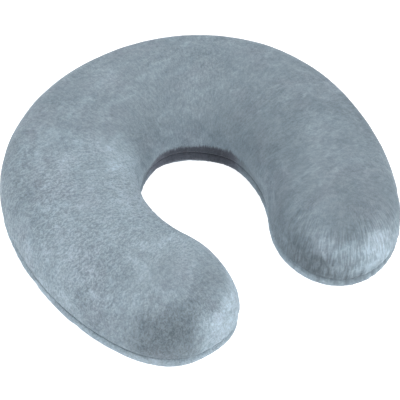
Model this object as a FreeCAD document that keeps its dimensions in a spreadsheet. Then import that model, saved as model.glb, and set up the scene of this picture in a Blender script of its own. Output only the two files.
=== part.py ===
import FreeCAD, Part
import Sketcher
import math
import os
from FreeCAD import Placement, Rotation, Vector

# U shaped travel neck pillow: a moulded foam core in a knitted liner, inside a
# removable plush cover of two panels that closes with a coil zip round the back.
# Frame: +Z up, the pillow lies on Z = 0, the neck opening faces -Y, and the
# origin is the middle of the footprint.  Millimetres.

doc = FreeCAD.newDocument("NeckPillow")
sheet = doc.addObject("Spreadsheet::Sheet", "Sizes")

CELLS = [
    # plan of the centre line: three tangent arcs each side
    ("back_radius", 105.2), ("back_angle", 41.0),
    ("side_radius", 91.2), ("side_angle", 40.2),
    ("arm_radius", 148.7), ("arm_angle", 40.6),
    ("centre_y", -14.305),
    # section at the cover's outer face
    ("half_width", 53.8), ("top_height", 48.0), ("base_depth", 27.5),
    ("top_wall", 12.0), ("top_corner", 30.0),
    # layers, counted inwards from the cover's outer face
    ("fabric_thick", 1.6), ("foot_side", 3.9), ("foot_thick", 0.8),
    ("liner_side", 4.1), ("liner_rise", 2.0), ("liner_thick", 0.5),
    ("foam_side", 4.8), ("foam_rise", 2.7),
    ("seam_thread_side", 2.9), ("seam_thread_thick", 0.8),
    ("liner_thread_thick", 0.7),
    # zip, in the back seam
    ("zip_half_angle", 36.0), ("zip_window", 3.8), ("foot_gap_angle", 39.5),
    ("tape_outer", 2.1), ("tape_thick", 0.5), ("tape_edge", 0.7),
    ("tape_width", 9.8), ("tape_lower_angle", 24.0), ("tape_half_angle", 38.5),
    ("coil_outer", 0.3), ("coil_inner", 2.1), ("coil_edge", 0.1), ("coil_width", 2.0),
    ("coil_first", 57.6), ("coil_span", 67.1),
    ("stitch_off", 6.2), ("stitch_thick", 0.7), ("stitch_side", 1.85),
    ("tape_lower_edge", 1.6), ("stitch_lower_angle", 14.2),
    ("slider_angle", 57.9), ("slider_length", 10.5), ("slider_width", 6.8),
    ("slider_plate", 1.0), ("pull_length", 21.0), ("pull_width", 5.5),
    ("pull_thick", 1.1),
    ("stop_top_angle", 55.4), ("stop_low_angle", 125.2),
    ("label_width_angle", 8.0), ("label_start", 0.5), ("label_drop_angle", 58.0),
    ("label_thick", 0.5),
]
value = {}
for row, (alias, number) in enumerate(CELLS, 1):
    sheet.set(f"A{row}", alias.replace("_", " "))
    sheet.set(f"B{row}", str(number))
    sheet.setAlias(f"B{row}", alias)
    value[alias] = number
doc.recompute()


class Q:
    """A size: its number, and the expression on the sheet's cells that gives it."""

    def __init__(self, number, text):
        self.v, self.e = float(number), text

    @staticmethod
    def of(x):
        return x if isinstance(x, Q) else Q(x, f"({float(x)!r})")

    def __add__(self, o):
        o = Q.of(o)
        return Q(self.v + o.v, f"({self.e} + {o.e})")

    __radd__ = __add__

    def __sub__(self, o):
        o = Q.of(o)
        return Q(self.v - o.v, f"({self.e} - {o.e})")

    def __rsub__(self, o):
        return Q.of(o) - self

    def __mul__(self, o):
        o = Q.of(o)
        return Q(self.v * o.v, f"({self.e} * {o.e})")

    __rmul__ = __mul__

    def __truediv__(self, o):
        o = Q.of(o)
        return Q(self.v / o.v, f"({self.e} / {o.e})")

    def __neg__(self):
        return Q(0, "(0.0)") - self


def cell(alias):
    return Q(value[alias], f"Sizes.{alias}")


def qcos(a):
    a = Q.of(a)
    return Q(math.cos(math.radians(a.v)), f"cos({a.e} * 1 deg)")


def qsin(a):
    a = Q.of(a)
    return Q(math.sin(math.radians(a.v)), f"sin({a.e} * 1 deg)")


# Centres of the plan's arcs and the direction in which each one ends.
half_width, seam_z = cell("half_width"), cell("base_depth")
dir_back = 90 - cell("back_angle")
dir_side = dir_back - cell("side_angle")
dir_arm = dir_side - cell("arm_angle")
C_BACK = (Q.of(0), cell("centre_y"))
C_SIDE = (
    C_BACK[0] + (cell("back_radius") - cell("side_radius")) * qcos(dir_back),
    C_BACK[1] + (cell("back_radius") - cell("side_radius")) * qsin(dir_back),
)
C_ARM = (
    C_SIDE[0] + (cell("side_radius") - cell("arm_radius")) * qcos(dir_side),
    C_SIDE[1] + (cell("side_radius") - cell("arm_radius")) * qsin(dir_side),
)
C_TIP = (
    C_ARM[0] + cell("arm_radius") * qcos(dir_arm),
    C_ARM[1] + cell("arm_radius") * qsin(dir_arm),
)


def plane_of(body, role):
    return [f for f in body.Origin.OriginFeatures if f.Role == role][0]


def new_body(label):
    body = doc.addObject("PartDesign::Body", label)
    body.Label = label
    return body


def upright_sketch(body, name, centre, direction):
    """A sketch in the upright plane through centre that looks along direction: X is outwards from centre, Y is height."""
    sk = body.newObject("Sketcher::SketchObject", name)
    sk.AttachmentSupport = [(plane_of(body, "XZ_Plane"), "")]
    sk.MapMode = "FlatFace"
    direction = Q.of(direction)
    sk.AttachmentOffset = Placement(
        Vector(centre[0].v, 0, -centre[1].v),
        Rotation(Vector(0, 1, 0), direction.v),
    )
    sk.setExpression("AttachmentOffset.Base.x", centre[0].e)
    sk.setExpression("AttachmentOffset.Base.z", (-centre[1]).e)
    sk.setExpression("AttachmentOffset.Rotation.Angle", f"{direction.e} * 1 deg")
    return sk


def draw_loop(sk, loop):
    """loop is a list of (x, y, how): each point and how the edge from it to the next runs, None for a straight line or (radius, cx, cy, way) for an arc, way 1 for anticlockwise."""
    edges, constraints, sizes = [], [], []
    n, first = len(loop), sk.GeometryCount
    ends = []
    for i, (x, y, how) in enumerate(loop):
        x2, y2 = loop[(i + 1) % n][:2]
        a, b = Vector(x.v, y.v, 0), Vector(x2.v, y2.v, 0)
        if how is None:
            edges.append(Part.LineSegment(a, b))
            ends.append((1, 2))
        else:
            r, cx, cy, way = how
            s = math.atan2(a.y - cy.v, a.x - cx.v)
            e = math.atan2(b.y - cy.v, b.x - cx.v)
            if way < 0:
                s, e = e, s
            if e <= s:
                e += 2 * math.pi
            circle = Part.Circle(Vector(cx.v, cy.v, 0), Vector(0, 0, 1), r.v)
            edges.append(Part.ArcOfCircle(circle, s, e))
            ends.append((1, 2) if way > 0 else (2, 1))
    sk.addGeometry(edges, False)
    for i in range(n):
        j = (i + 1) % n
        constraints.append(
            Sketcher.Constraint("Coincident", first + i, ends[i][1], first + j, ends[j][0])
        )
        sizes.append(None)
    for i, (x, y, how) in enumerate(loop):
        for kind, q, axis in (("DistanceX", x, -2), ("DistanceY", y, -1)):
            if abs(q.v) < 1e-9:
                constraints.append(
                    Sketcher.Constraint("PointOnObject", first + i, ends[i][0], axis)
                )
                sizes.append(None)
            else:
                constraints.append(
                    Sketcher.Constraint(kind, -1, 1, first + i, ends[i][0], q.v)
                )
                sizes.append(q)
        if how is not None:
            constraints.append(Sketcher.Constraint("Radius", first + i, how[0].v))
            sizes.append(how[0])
    start = sk.ConstraintCount
    sk.addConstraint(constraints)
    for k, q in enumerate(sizes):
        if q is not None:
            sk.setExpression(f"Constraints[{start + k}]", q.e)


def draw_circle(sk, x, y, r):
    g = sk.addGeometry(
        Part.Circle(Vector(x.v, y.v, 0), Vector(0, 0, 1), r.v), False
    )
    for con, q in (
        (Sketcher.Constraint("DistanceX", -1, 1, g, 3, x.v), x),
        (Sketcher.Constraint("DistanceY", -1, 1, g, 3, y.v), y),
        (Sketcher.Constraint("Radius", g, r.v), r),
    ):
        k = sk.addConstraint(con)
        sk.setExpression(f"Constraints[{k}]", q.e)


def turn(body, name, sk, angle, kind="PartDesign::Revolution"):
    """Revolves a sketch about its own upright axis, anticlockwise seen from above."""
    angle = Q.of(angle)
    f = body.newObject(kind, name)
    f.Profile = sk
    f.ReferenceAxis = (sk, ["V_Axis"])
    f.Angle = angle.v
    f.setExpression("Angle", angle.e)
    sk.Visibility = False
    doc.recompute()
    return f


def mirror_all(body, originals):
    m = body.newObject("PartDesign::Mirrored", body.Label + "_mirror")
    m.Originals = originals
    m.MirrorPlane = (plane_of(body, "YZ_Plane"), [""])
    body.Tip = m
    doc.recompute()
    return m


# ---- sections -------------------------------------------------------------
# Each arch is a short upright wall, a corner arc and a crown arc, all tangent.


def arch(side, rise, at, mirrored):
    """Points of one side of the top arch, inset by side and rise, round the upright line x = at: foot, wall top, tangent point, crown top, with arcs."""
    sgn = -1 if mirrored else 1
    a = half_width - side
    h = cell("top_height") - rise
    rc = cell("top_corner") - side
    zc = cell("top_wall")
    A = half_width - cell("top_corner")
    B = h - zc
    rk = (A * A + B * B - rc * rc) / (2 * (B - rc))
    d = rk - rc
    tx = rk * A / d
    tz = h - rk + rk * (zc - h + rk) / d
    at = Q.of(at)
    return {
        "foot": (at + sgn * a, seam_z),
        "wall": (at + sgn * a, seam_z + zc),
        "tangent": (at + sgn * tx, seam_z + tz),
        "crown": (at, seam_z + h),
        "corner_arc": (rc, at + sgn * A, seam_z + zc),
        "crown_arc": (rk, at, seam_z + h - rk),
    }


def bowl(side, rise, at, mirrored):
    """One side of the base: a quarter circle from the seam down to the flat."""
    sgn = -1 if mirrored else 1
    a = half_width - side
    r = cell("base_depth") - rise
    at = Q.of(at)
    return {
        "foot": (at + sgn * a, seam_z),
        "flat": (at + sgn * (a - r), Q.of(rise)),
        "arc": (r, at + sgn * (a - r), seam_z),
    }


def core_loop(at, half=False):
    side, rise = cell("foam_side"), cell("foam_rise")
    R, L = arch(side, rise, at, False), arch(side, rise, at, True)
    b, c = bowl(side, rise, at, False), bowl(side, rise, at, True)
    at = Q.of(at)
    if half:
        return [
            (at, rise, None),
            (*b["flat"], (*b["arc"], 1)),
            (*b["foot"], None),
            (*R["wall"], (*R["corner_arc"], 1)),
            (*R["tangent"], (*R["crown_arc"], 1)),
            (*R["crown"], None),
        ]
    return [
        (*b["flat"], (*b["arc"], 1)),
        (*R["foot"], None),
        (*R["wall"], (*R["corner_arc"], 1)),
        (*R["tangent"], (*R["crown_arc"], 1)),
        (*L["tangent"], (*L["corner_arc"], 1)),
        (*L["wall"], None),
        (*L["foot"], (*c["arc"], 1)),
        (*c["flat"], None),
    ]


def top_loop(outer, inner, foot, at, half=False):
    """A thin arch between two insets, with a seam allowance turned in at its foot where foot is (side, thickness)."""
    R, L = arch(*outer, at, False), arch(*outer, at, True)
    r, l = arch(*inner, at, False), arch(*inner, at, True)
    at = Q.of(at)

    def step(sgn):
        if foot is None:
            return []
        inward, thick = foot
        out = [
            (at + sgn * (half_width - inward), seam_z, None),
            (at + sgn * (half_width - inward), seam_z + thick, None),
            (at + sgn * (half_width - inner[0]), seam_z + thick, None),
        ]
        return out

    def inner_foot(f, sgn):
        return [(*f, None)] if foot is None else []

    if half:
        loop = [
            (*R["foot"], None),
            (*R["wall"], (*R["corner_arc"], 1)),
            (*R["tangent"], (*R["crown_arc"], 1)),
            (*R["crown"], None),
            (*r["crown"], (*r["crown_arc"], -1)),
            (*r["tangent"], (*r["corner_arc"], -1)),
            (*r["wall"], None),
        ]
        return loop + inner_foot(r["foot"], 1) + step(1)[::-1]
    loop = [
        (*R["foot"], None),
        (*R["wall"], (*R["corner_arc"], 1)),
        (*R["tangent"], (*R["crown_arc"], 1)),
        (*L["tangent"], (*L["corner_arc"], 1)),
        (*L["wall"], None),
        (*L["foot"], None),
    ]
    loop += step(-1) + inner_foot(l["foot"], -1)
    loop += [
        (*l["wall"], (*l["corner_arc"], -1)),
        (*l["tangent"], (*r["crown_arc"], -1)),
        (*r["tangent"], (*r["corner_arc"], -1)),
        (*r["wall"], None),
    ]
    loop += inner_foot(r["foot"], 1) + step(1)[::-1]
    return loop


def base_loop(outer, inner, foot, at, half=False):
    R, L = bowl(*outer, at, False), bowl(*outer, at, True)
    r, l = bowl(*inner, at, False), bowl(*inner, at, True)
    at = Q.of(at)

    def step(sgn):
        """From the inner wall, below the allowance, to the allowance's tip at the seam."""
        if foot is None:
            return []
        inward, thick = foot
        # where the inner quarter circle meets the allowance's underside
        rr, cx = (l if sgn < 0 else r)["arc"][0], (l if sgn < 0 else r)["arc"][1]
        drop = math.sqrt(rr.v * rr.v - thick.v * thick.v)
        x = cx + sgn * Q(drop, f"sqrt({rr.e} * {rr.e} - {thick.e} * {thick.e})")
        return [
            (x, seam_z - thick, None),
            (at + sgn * (half_width - inward), seam_z - thick, None),
            (at + sgn * (half_width - inward), seam_z, None),
        ]

    if half:
        loop = [
            (at, Q.of(outer[1]), None),
            (*R["flat"], (*R["arc"], 1)),
            (*R["foot"], None),
        ]
        if foot is None:
            loop += [(*r["foot"], (*r["arc"], -1))]
        else:
            s = step(1)[::-1]
            loop += s[:-1] + [(s[-1][0], s[-1][1], (*r["arc"], -1))]
        loop += [(*r["flat"], None), (at, Q.of(inner[1]), None)]
        return loop
    loop = [
        (*R["flat"], (*R["arc"], 1)),
        (*R["foot"], None),
    ]
    if foot is None:
        loop += [(*r["foot"], (*r["arc"], -1))]
    else:
        s = step(1)[::-1]
        loop += s[:-1] + [(s[-1][0], s[-1][1], (*r["arc"], -1))]
    loop += [(*r["flat"], None)]
    if foot is None:
        loop += [(*l["flat"], (*l["arc"], -1)), (*l["foot"], None)]
    else:
        s = step(-1)
        loop += [(*l["flat"], (*l["arc"], -1)), *s]
    loop += [(*L["foot"], (*L["arc"], 1)), (*L["flat"], None)]
    return loop


ARCS = (
    ("back", C_BACK, dir_back, 2 * cell("back_angle"), cell("back_radius")),
    ("side", C_SIDE, dir_side, cell("side_angle"), cell("side_radius")),
    ("arm", C_ARM, dir_arm, cell("arm_angle"), cell("arm_radius")),
)


def u_body(label, section):
    """A body that follows the whole U: back arc, side arc, arm arc and a domed tip, with the left side mirrored."""
    body = new_body(label)
    made = []
    for name, centre, start, angle, radius in ARCS:
        sk = upright_sketch(body, f"{label}_{name}_section", centre, start)
        draw_loop(sk, section(radius, False))
        made.append(turn(body, f"{label}_{name}", sk, angle))
    sk = upright_sketch(body, f"{label}_tip_section", C_TIP, dir_arm - 180)
    draw_loop(sk, section(Q.of(0), True))
    made.append(turn(body, f"{label}_tip", sk, 180))
    mirror_all(body, made[1:])
    return body


def groove(body, name, start, angle, x1, x2, z1, z2):
    """Cuts a band round the back arc between two radii and two heights."""
    before = body.Shape.Volume
    sk = upright_sketch(body, name + "_section", C_BACK, start)
    draw_loop(sk, [(x1, z1, None), (x2, z1, None), (x2, z2, None), (x1, z2, None)])
    f = turn(body, name, sk, angle, "PartDesign::Groove")
    body.Tip = f
    doc.recompute()
    if body.Shape.Volume >= before - 1:
        raise RuntimeError(f"{name} cut nothing")
    return f


fabric = cell("fabric_thick")
zero = Q.of(0)
foot = (cell("foot_side"), cell("foot_thick"))
liner_in = (
    cell("liner_side") + cell("liner_thick"),
    cell("liner_rise") + cell("liner_thick"),
)
back_face = cell("back_radius") + half_width  # the cover's outer face at the zip

core = u_body("foam_core", core_loop)
liner_upper = u_body(
    "liner_upper",
    lambda at, half: top_loop(
        (cell("liner_side"), cell("liner_rise")), liner_in, None, at, half
    ),
)
liner_lower = u_body(
    "liner_lower",
    lambda at, half: base_loop(
        (cell("liner_side"), cell("liner_rise")), liner_in, None, at, half
    ),
)
cover_top = u_body(
    "cover_top",
    lambda at, half: top_loop((zero, zero), (fabric, fabric), foot, at, half),
)
cover_bottom = u_body(
    "cover_bottom",
    lambda at, half: base_loop((zero, zero), (fabric, fabric), foot, at, half),
)

# The zip's window between the two panels, and room for its tapes behind them.
for body, sgn in ((cover_top, 1), (cover_bottom, -1)):
    lo = seam_z if sgn > 0 else seam_z - cell("zip_window")
    hi = seam_z + cell("zip_window") if sgn > 0 else seam_z
    groove(
        body, body.Label + "_window", 90 - cell("zip_half_angle"),
        2 * cell("zip_half_angle"), back_face - fabric - 0.4, back_face + 1, lo, hi,
    )
    lo = seam_z if sgn > 0 else seam_z - cell("foot_thick") - 0.02
    hi = seam_z + cell("foot_thick") + 0.02 if sgn > 0 else seam_z
    groove(
        body, body.Label + "_foot_gap", 90 - cell("foot_gap_angle"),
        2 * cell("foot_gap_angle"), back_face - cell("foot_side") - 0.3,
        back_face - fabric, lo, hi,
    )

# ---- threads --------------------------------------------------------------


def seam_thread(label, side, thick, gap_angle):
    """One line of thread round the whole seam, left out over the zip where gap_angle is given."""
    body = new_body(label)
    r = thick / 2
    made = []
    reach = half_width - side
    sk = upright_sketch(body, label + "_tip_section", C_TIP, dir_arm - 180)
    draw_circle(sk, reach, seam_z, r)
    made.append(turn(body, label + "_tip", sk, 180))
    for name, centre, start, angle, radius in ARCS[:0:-1]:
        sk = upright_sketch(body, f"{label}_{name}_section", centre, start)
        draw_circle(sk, radius + reach, seam_z, r)
        draw_circle(sk, radius - reach, seam_z, r)
        made.append(turn(body, f"{label}_{name}", sk, angle))
    sk = upright_sketch(body, label + "_back_inner_section", C_BACK, dir_back)
    draw_circle(sk, cell("back_radius") - reach, seam_z, r)
    made.append(turn(body, label + "_back_inner", sk, cell("back_angle")))
    sk = upright_sketch(body, label + "_back_outer_section", C_BACK, dir_back)
    draw_circle(sk, cell("back_radius") + reach, seam_z, r)
    outer = cell("back_angle") if gap_angle is None else cell("back_angle") - gap_angle
    made.append(turn(body, label + "_back_outer", sk, outer))
    mirror_all(body, made)
    return body


seam_thread(
    "cover_seam_thread", cell("seam_thread_side"), cell("seam_thread_thick"),
    cell("foot_gap_angle"),
)
seam_thread(
    "liner_seam_thread", cell("liner_side") + cell("liner_thick") / 2,
    cell("liner_thread_thick"), None,
)


def back_band(label, loop, start, span):
    """A body swept round the back arc from a section given in (radius, height)."""
    body = new_body(label)
    sk = upright_sketch(body, label + "_section", C_BACK, start)
    if callable(loop):
        loop(sk)
    else:
        draw_loop(sk, loop)
    turn(body, label + "_sweep", sk, span)
    return body


# Upper tape: a flat band behind the top panel's edge.
t1 = back_face - cell("tape_outer")
t0 = t1 - cell("tape_thick")
zu0 = seam_z + cell("tape_edge")
zu1 = seam_z + cell("tape_edge") + cell("tape_width")
tape_start, tape_span = 90 - cell("tape_half_angle"), 2 * cell("tape_half_angle")
back_band(
    "zip_tape_upper",
    [(t0, zu0, None), (t1, zu0, None), (t1, zu1, None), (t0, zu1, None)],
    tape_start, tape_span,
)
# Lower tape: follows the curve of the lower panel.
ro = cell("base_depth") - cell("tape_outer")
ri = ro - cell("tape_thick")
bx = back_face - cell("base_depth")
edge_o = cell("tape_lower_edge")
cw, sw = qcos(cell("tape_lower_angle")), qsin(cell("tape_lower_angle"))
ce, se = qcos(edge_o), qsin(edge_o)
back_band(
    "zip_tape_lower",
    [
        (bx + ri * cw, seam_z - ri * sw, None),
        (bx + ro * cw, seam_z - ro * sw, (ro, bx, seam_z, 1)),
        (bx + ro * ce, seam_z - ro * se, None),
        (bx + ri * ce, seam_z - ri * se, (ri, bx, seam_z, -1)),
    ],
    tape_start, tape_span,
)
# Coils: one row on the edge of each tape.
c1, c0 = back_face - cell("coil_outer"), back_face - cell("coil_inner")
for label, sgn in (("zip_coil_upper", 1), ("zip_coil_lower", -1)):
    near = seam_z + sgn * cell("coil_edge")
    far = seam_z + sgn * (cell("coil_edge") + cell("coil_width"))
    lo, hi = (near, far) if sgn > 0 else (far, near)
    if sgn > 0:
        loop = [(c0, lo, None), (c1, lo, None), (c1, hi, None), (c0, hi, None)]
    else:
        loop = [(c0 - 0.0, lo, None), (c1, lo, None), (c1, hi, None), (c0 - 0.0, hi, None)]
    back_band(label, loop, cell("coil_first"), cell("coil_span"))
# Lines of stitching that hold the tapes to the panels.
st_r = cell("stitch_thick") / 2
back_band(
    "zip_stitching_upper",
    lambda sk: draw_circle(
        sk, back_face - cell("stitch_side"), seam_z + cell("stitch_off"), st_r
    ),
    90 - cell("tape_half_angle") + 0.6, 2 * cell("tape_half_angle") - 1.2,
)
st_a = cell("stitch_lower_angle")
st_ring = cell("base_depth") - cell("stitch_side")
back_band(
    "zip_stitching_lower",
    lambda sk: draw_circle(
        sk, bx + st_ring * qcos(st_a), seam_z - st_ring * qsin(st_a), st_r
    ),
    90 - cell("tape_half_angle") + 0.6, 2 * cell("tape_half_angle") - 1.2,
)

# ---- care label: a folded ribbon sewn into the seam behind the left side ---
label_body = new_body("care_label")
l0 = cell("base_depth") + 0.05
l1 = l0 + cell("label_thick")
lx = cell("side_radius") + half_width - cell("base_depth")
cd, sd = qcos(cell("label_drop_angle")), qsin(cell("label_drop_angle"))
cs, ss = qcos(0.3), qsin(0.3)
left_side = (-C_SIDE[0], C_SIDE[1])
sk = upright_sketch(
    label_body, "care_label_section", left_side,
    180 - dir_back + cell("label_start"),
)
draw_loop(
    sk,
    [
        (lx + l0 * cd, seam_z - l0 * sd, None),
        (lx + l1 * cd, seam_z - l1 * sd, (l1, lx, seam_z, 1)),
        (lx + l1 * cs, seam_z - l1 * ss, None),
        (lx + l0 * cs, seam_z - l0 * ss, (l0, lx, seam_z, -1)),
    ],
)
turn(label_body, "care_label_sweep", sk, cell("label_width_angle"))

# ---- slider, pull and stops: small metal parts, square to the back ---------


def place_on_back(obj, angle, radial=0.0):
    """Puts an object on the cover's back face: its X runs along the zip towards the open end, its Y inwards, its Z up."""
    angle = Q.of(angle)
    r = back_face + radial
    x = C_BACK[0] + r * qcos(angle)
    y = C_BACK[1] + r * qsin(angle)
    obj.Placement = Placement(
        Vector(x.v, y.v, seam_z.v), Rotation(Vector(0, 0, 1), angle.v + 90)
    )
    obj.setExpression("Placement.Base.x", x.e)
    obj.setExpression("Placement.Base.y", y.e)
    obj.setExpression("Placement.Base.z", seam_z.e)
    obj.setExpression("Placement.Rotation.Angle", f"({(angle + 90).e}) * 1 deg")


def box(name, lx, ly, lz, x, y, z):
    b = doc.addObject("Part::Box", name)
    for prop, q in (("Length", lx), ("Width", ly), ("Height", lz)):
        q = Q.of(q)
        setattr(b, prop, q.v)
        b.setExpression(prop, q.e)
    q = [Q.of(x), Q.of(y), Q.of(z)]
    b.Placement = Placement(Vector(q[0].v, q[1].v, q[2].v), Rotation())
    for axis, one in zip("xyz", q):
        b.setExpression(f"Placement.Base.{axis}", one.e)
    return b


def cylinder(name, radius, height, centre, axis):
    c = doc.addObject("Part::Cylinder", name)
    radius, height = Q.of(radius), Q.of(height)
    c.Radius, c.Height = radius.v, height.v
    c.setExpression("Radius", radius.e)
    c.setExpression("Height", height.e)
    c.Placement = Placement(Vector(*centre), Rotation(Vector(0, 0, 1), Vector(*axis)))
    return c


def fuse(name, shapes):
    f = doc.addObject("Part::MultiFuse", name)
    f.Shapes = shapes
    f.Refine = True
    return f


def cut(name, base, tool):
    c = doc.addObject("Part::Cut", name)
    c.Base, c.Tool = base, tool
    return c


SL, SW, SP = cell("slider_length"), cell("slider_width"), cell("slider_plate")
# Slider: outer plate with two flanges, inner plate, and the post that joins them.
outer_plate = box("sl_outer_plate", SL, SP, SW, -SL / 2, -0.9 * SP - 0.0, -SW / 2)
rail_up = box("sl_rail_up", SL * 0.62, 1.8, 0.8, -SL * 0.31, 0.05, SW / 2 - 0.85)
rail_low = box("sl_rail_low", SL * 0.62, 1.8, 0.8, -SL * 0.31, 0.05, 0.05 - SW / 2)
inner_plate = box("sl_inner_plate", SL, 0.8 * SP, SW, -SL / 2, 3.0, -SW / 2)
post = box("sl_post", 3.0, 3.8, 1.0, -SL / 2 + 0.3, -0.4, -0.5)
crown_bar = box("sl_crown_bar", 7.0, 0.7, 2.0, -3.5, -3.3, -1.0)
crown_leg_a = box("sl_crown_leg_a", 0.8, 2.8, 2.0, -3.5, -3.3, -1.0)
crown_leg_b = box("sl_crown_leg_b", 0.8, 2.8, 2.0, 2.7, -3.3, -1.0)
slider_raw = fuse(
    "zip_slider_raw",
    [outer_plate, rail_up, rail_low, inner_plate, post, crown_bar, crown_leg_a, crown_leg_b],
)
doc.recompute()
slider = doc.addObject("Part::Fillet", "zip_slider_body")
slider.Base = slider_raw
corner = []
for i, e in enumerate(slider_raw.Shape.Edges, 1):
    b = e.BoundBox
    if b.YLength > 0.7 and b.XLength < 1e-6 and b.ZLength < 1e-6:
        if abs(abs(b.XMin) - SL.v / 2) < 1e-6 and abs(abs(b.ZMin) - SW.v / 2) < 1e-6:
            corner.append((i, 1.6, 1.6))
slider.Edges = corner
slider.Label = "zip_slider_body"
place_on_back(slider, cell("slider_angle"))

# Pull: a bar under the slider's crown, and a slotted tab.
PW, PT, PL = cell("pull_width"), cell("pull_thick"), cell("pull_length")
tab = box("pl_tab", PL - PW / 2, PT, PW, 0.0, -PT / 2, -PW / 2)
tab_end = cylinder("pl_end", PW / 2, PT, (PL.v - PW.v / 2, -PT.v / 2, 0), (0, 1, 0))
tab_bar = cylinder("pl_bar", PT / 2, PW, (0, 0, -PW.v / 2), (0, 0, 1))
slot = box("pl_slot", 3.7, PT + 1, 3.2, PT / 2, -PT / 2 - 0.5, -1.6)
grip = cylinder("pl_grip", 1.3, PT + 1, (PL.v - PW.v / 2 + 0.2, -PT.v / 2 - 0.5, 0), (0, 1, 0))
pull = cut(
    "zip_pull_tab", fuse("pl_blank", [tab, tab_end, tab_bar]), fuse("pl_holes", [slot, grip])
)
pull.Label = "zip_pull_tab"
PIVOT_OUT = 1.75
place_on_back(pull, cell("slider_angle"), PIVOT_OUT)

# Stops: two small clips at the closed end, one on each tape, and one across both
# tapes at the open end.  Each has a slot for the tape it grips.
gap0 = cell("tape_outer") - 0.04
gap = cell("tape_thick") + 0.2


def clip(name, length, z0, z1, slots):
    body_box = box(name + "_block", length, 2.3, z1 - z0, -length / 2, 0.9, z0)
    cuts = [
        box(f"{name}_slot{k}", length + 1, gap, s1 - s0, -length / 2 - 0.5, gap0, s0)
        for k, (s0, s1) in enumerate(slots)
    ]
    tool = cuts[0] if len(cuts) == 1 else fuse(name + "_slots", cuts)
    return cut(name, body_box, tool)


up = clip("stop_up", 1.8, 0.2, 2.4, [(0.62, 3.0)])
low = clip("stop_low", 1.8, -2.4, -0.2, [(-3.0, -0.62)])
top_stops = doc.addObject("Part::Compound", "zip_top_stops")
top_stops.Links = [up, low]
top_stops.Label = "zip_top_stops"
place_on_back(top_stops, cell("stop_top_angle"))
bottom_stop = clip("zip_bottom_stop", 2.2, -2.4, 2.4, [(0.62, 3.0), (-3.0, -0.62)])
bottom_stop.Label = "zip_bottom_stop"
place_on_back(bottom_stop, cell("stop_low_angle"))

# Bar tacks: dense thread across each end of the window.
tacks = []
for k, sgn in enumerate((-1, 1)):
    one = doc.addObject("Part::Compound", f"tack_at_end_{k}")
    one.Links = [box(f"tack_{k}", 1.5, 0.5, 8.6, -0.75, -0.5, -4.3)]
    place_on_back(one, 90 + sgn * (cell("zip_half_angle") + 0.5))
    tacks.append(one)
bar_tacks = doc.addObject("Part::Compound", "zip_bar_tacks")
bar_tacks.Links = tacks
bar_tacks.Label = "zip_bar_tacks"

doc.recompute()

NODES = [
    "foam_core", "liner_upper", "liner_lower", "liner_seam_thread", "cover_top",
    "cover_bottom", "cover_seam_thread", "zip_tape_upper", "zip_tape_lower",
    "zip_coil_upper", "zip_coil_lower", "zip_stitching_upper", "zip_stitching_lower",
    "zip_slider_body", "zip_pull_tab", "zip_top_stops", "zip_bottom_stop",
    "zip_bar_tacks", "care_label",
]

for o in doc.Objects:
    if "Invalid" in o.State or "Error" in o.State:
        raise RuntimeError(f"{o.Name} is {o.State}")

shapes = {}
for name in NODES:
    shape = doc.getObjectsByLabel(name)[0].Shape
    if shape.isNull() or not shape.isValid() or not shape.Solids:
        raise RuntimeError(f"{name} has no valid solid")
    shapes[name] = shape

box_all = FreeCAD.BoundBox()
for s in shapes.values():
    box_all.add(s.optimalBoundingBox(False, False) if hasattr(s, "optimalBoundingBox") else s.BoundBox)
print(
    "box", [round(v, 2) for v in (box_all.XMin, box_all.XMax, box_all.YMin, box_all.YMax, box_all.ZMin, box_all.ZMax)]
)
print("tip centre", round(C_TIP[0].v, 3), round(C_TIP[1].v, 3), "side", C_SIDE[0].v, C_SIDE[1].v, "arm", C_ARM[0].v, C_ARM[1].v, "dirs", dir_back.v, dir_side.v, dir_arm.v)

os.makedirs("parts", exist_ok=True)
for name, shape in shapes.items():
    shape.exportStep(f"parts/{name}.step")
    print(f"{name}: {len(shape.Solids)} solid(s), {shape.Volume:.1f} mm3")
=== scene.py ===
import math

import bmesh
import bpy
import numpy as np
from mathutils import Matrix, Vector


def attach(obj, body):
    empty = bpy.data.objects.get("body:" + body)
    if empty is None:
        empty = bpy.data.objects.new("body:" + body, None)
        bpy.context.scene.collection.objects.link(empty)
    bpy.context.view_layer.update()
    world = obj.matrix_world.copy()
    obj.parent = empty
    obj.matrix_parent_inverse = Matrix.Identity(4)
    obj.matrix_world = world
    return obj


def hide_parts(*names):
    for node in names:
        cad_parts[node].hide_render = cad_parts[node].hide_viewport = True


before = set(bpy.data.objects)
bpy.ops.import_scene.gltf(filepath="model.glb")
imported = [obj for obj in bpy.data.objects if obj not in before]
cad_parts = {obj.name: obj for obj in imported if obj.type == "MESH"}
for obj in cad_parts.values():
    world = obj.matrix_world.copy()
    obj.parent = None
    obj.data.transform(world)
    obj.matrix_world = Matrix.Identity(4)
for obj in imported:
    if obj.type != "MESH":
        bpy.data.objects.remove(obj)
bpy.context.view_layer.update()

# ---------------------------------------------------------------- dimensions
# Millimetres here; everything is divided by 1000 when a mesh is made.
YC = -14.305          # y of the back arc's centre, from part.py
SEAM = 27.5           # height of the seam above the floor
ARC = ((105.2, 41.0), (91.2, 40.2), (148.7, 36.7))   # radius and angle of each arc of the centre line
W_KNOTS = (53.9, 56.8, 53.3, 52.7)    # half width at 0, 1/3, 2/3 and 3/3 of an arm
CAP = 1.255           # how much longer than wide the rounded tip is
H_KNOTS = (47.7, 49.0, 46.2)          # height of the crown above the seam
DEPTH = 29.2
N_TOP, N_BOT = 2.70, 2.28             # fullness of the upper and lower section
ZIP_R = 159.0
ZIP_HALF = 36.0       # degrees


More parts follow.
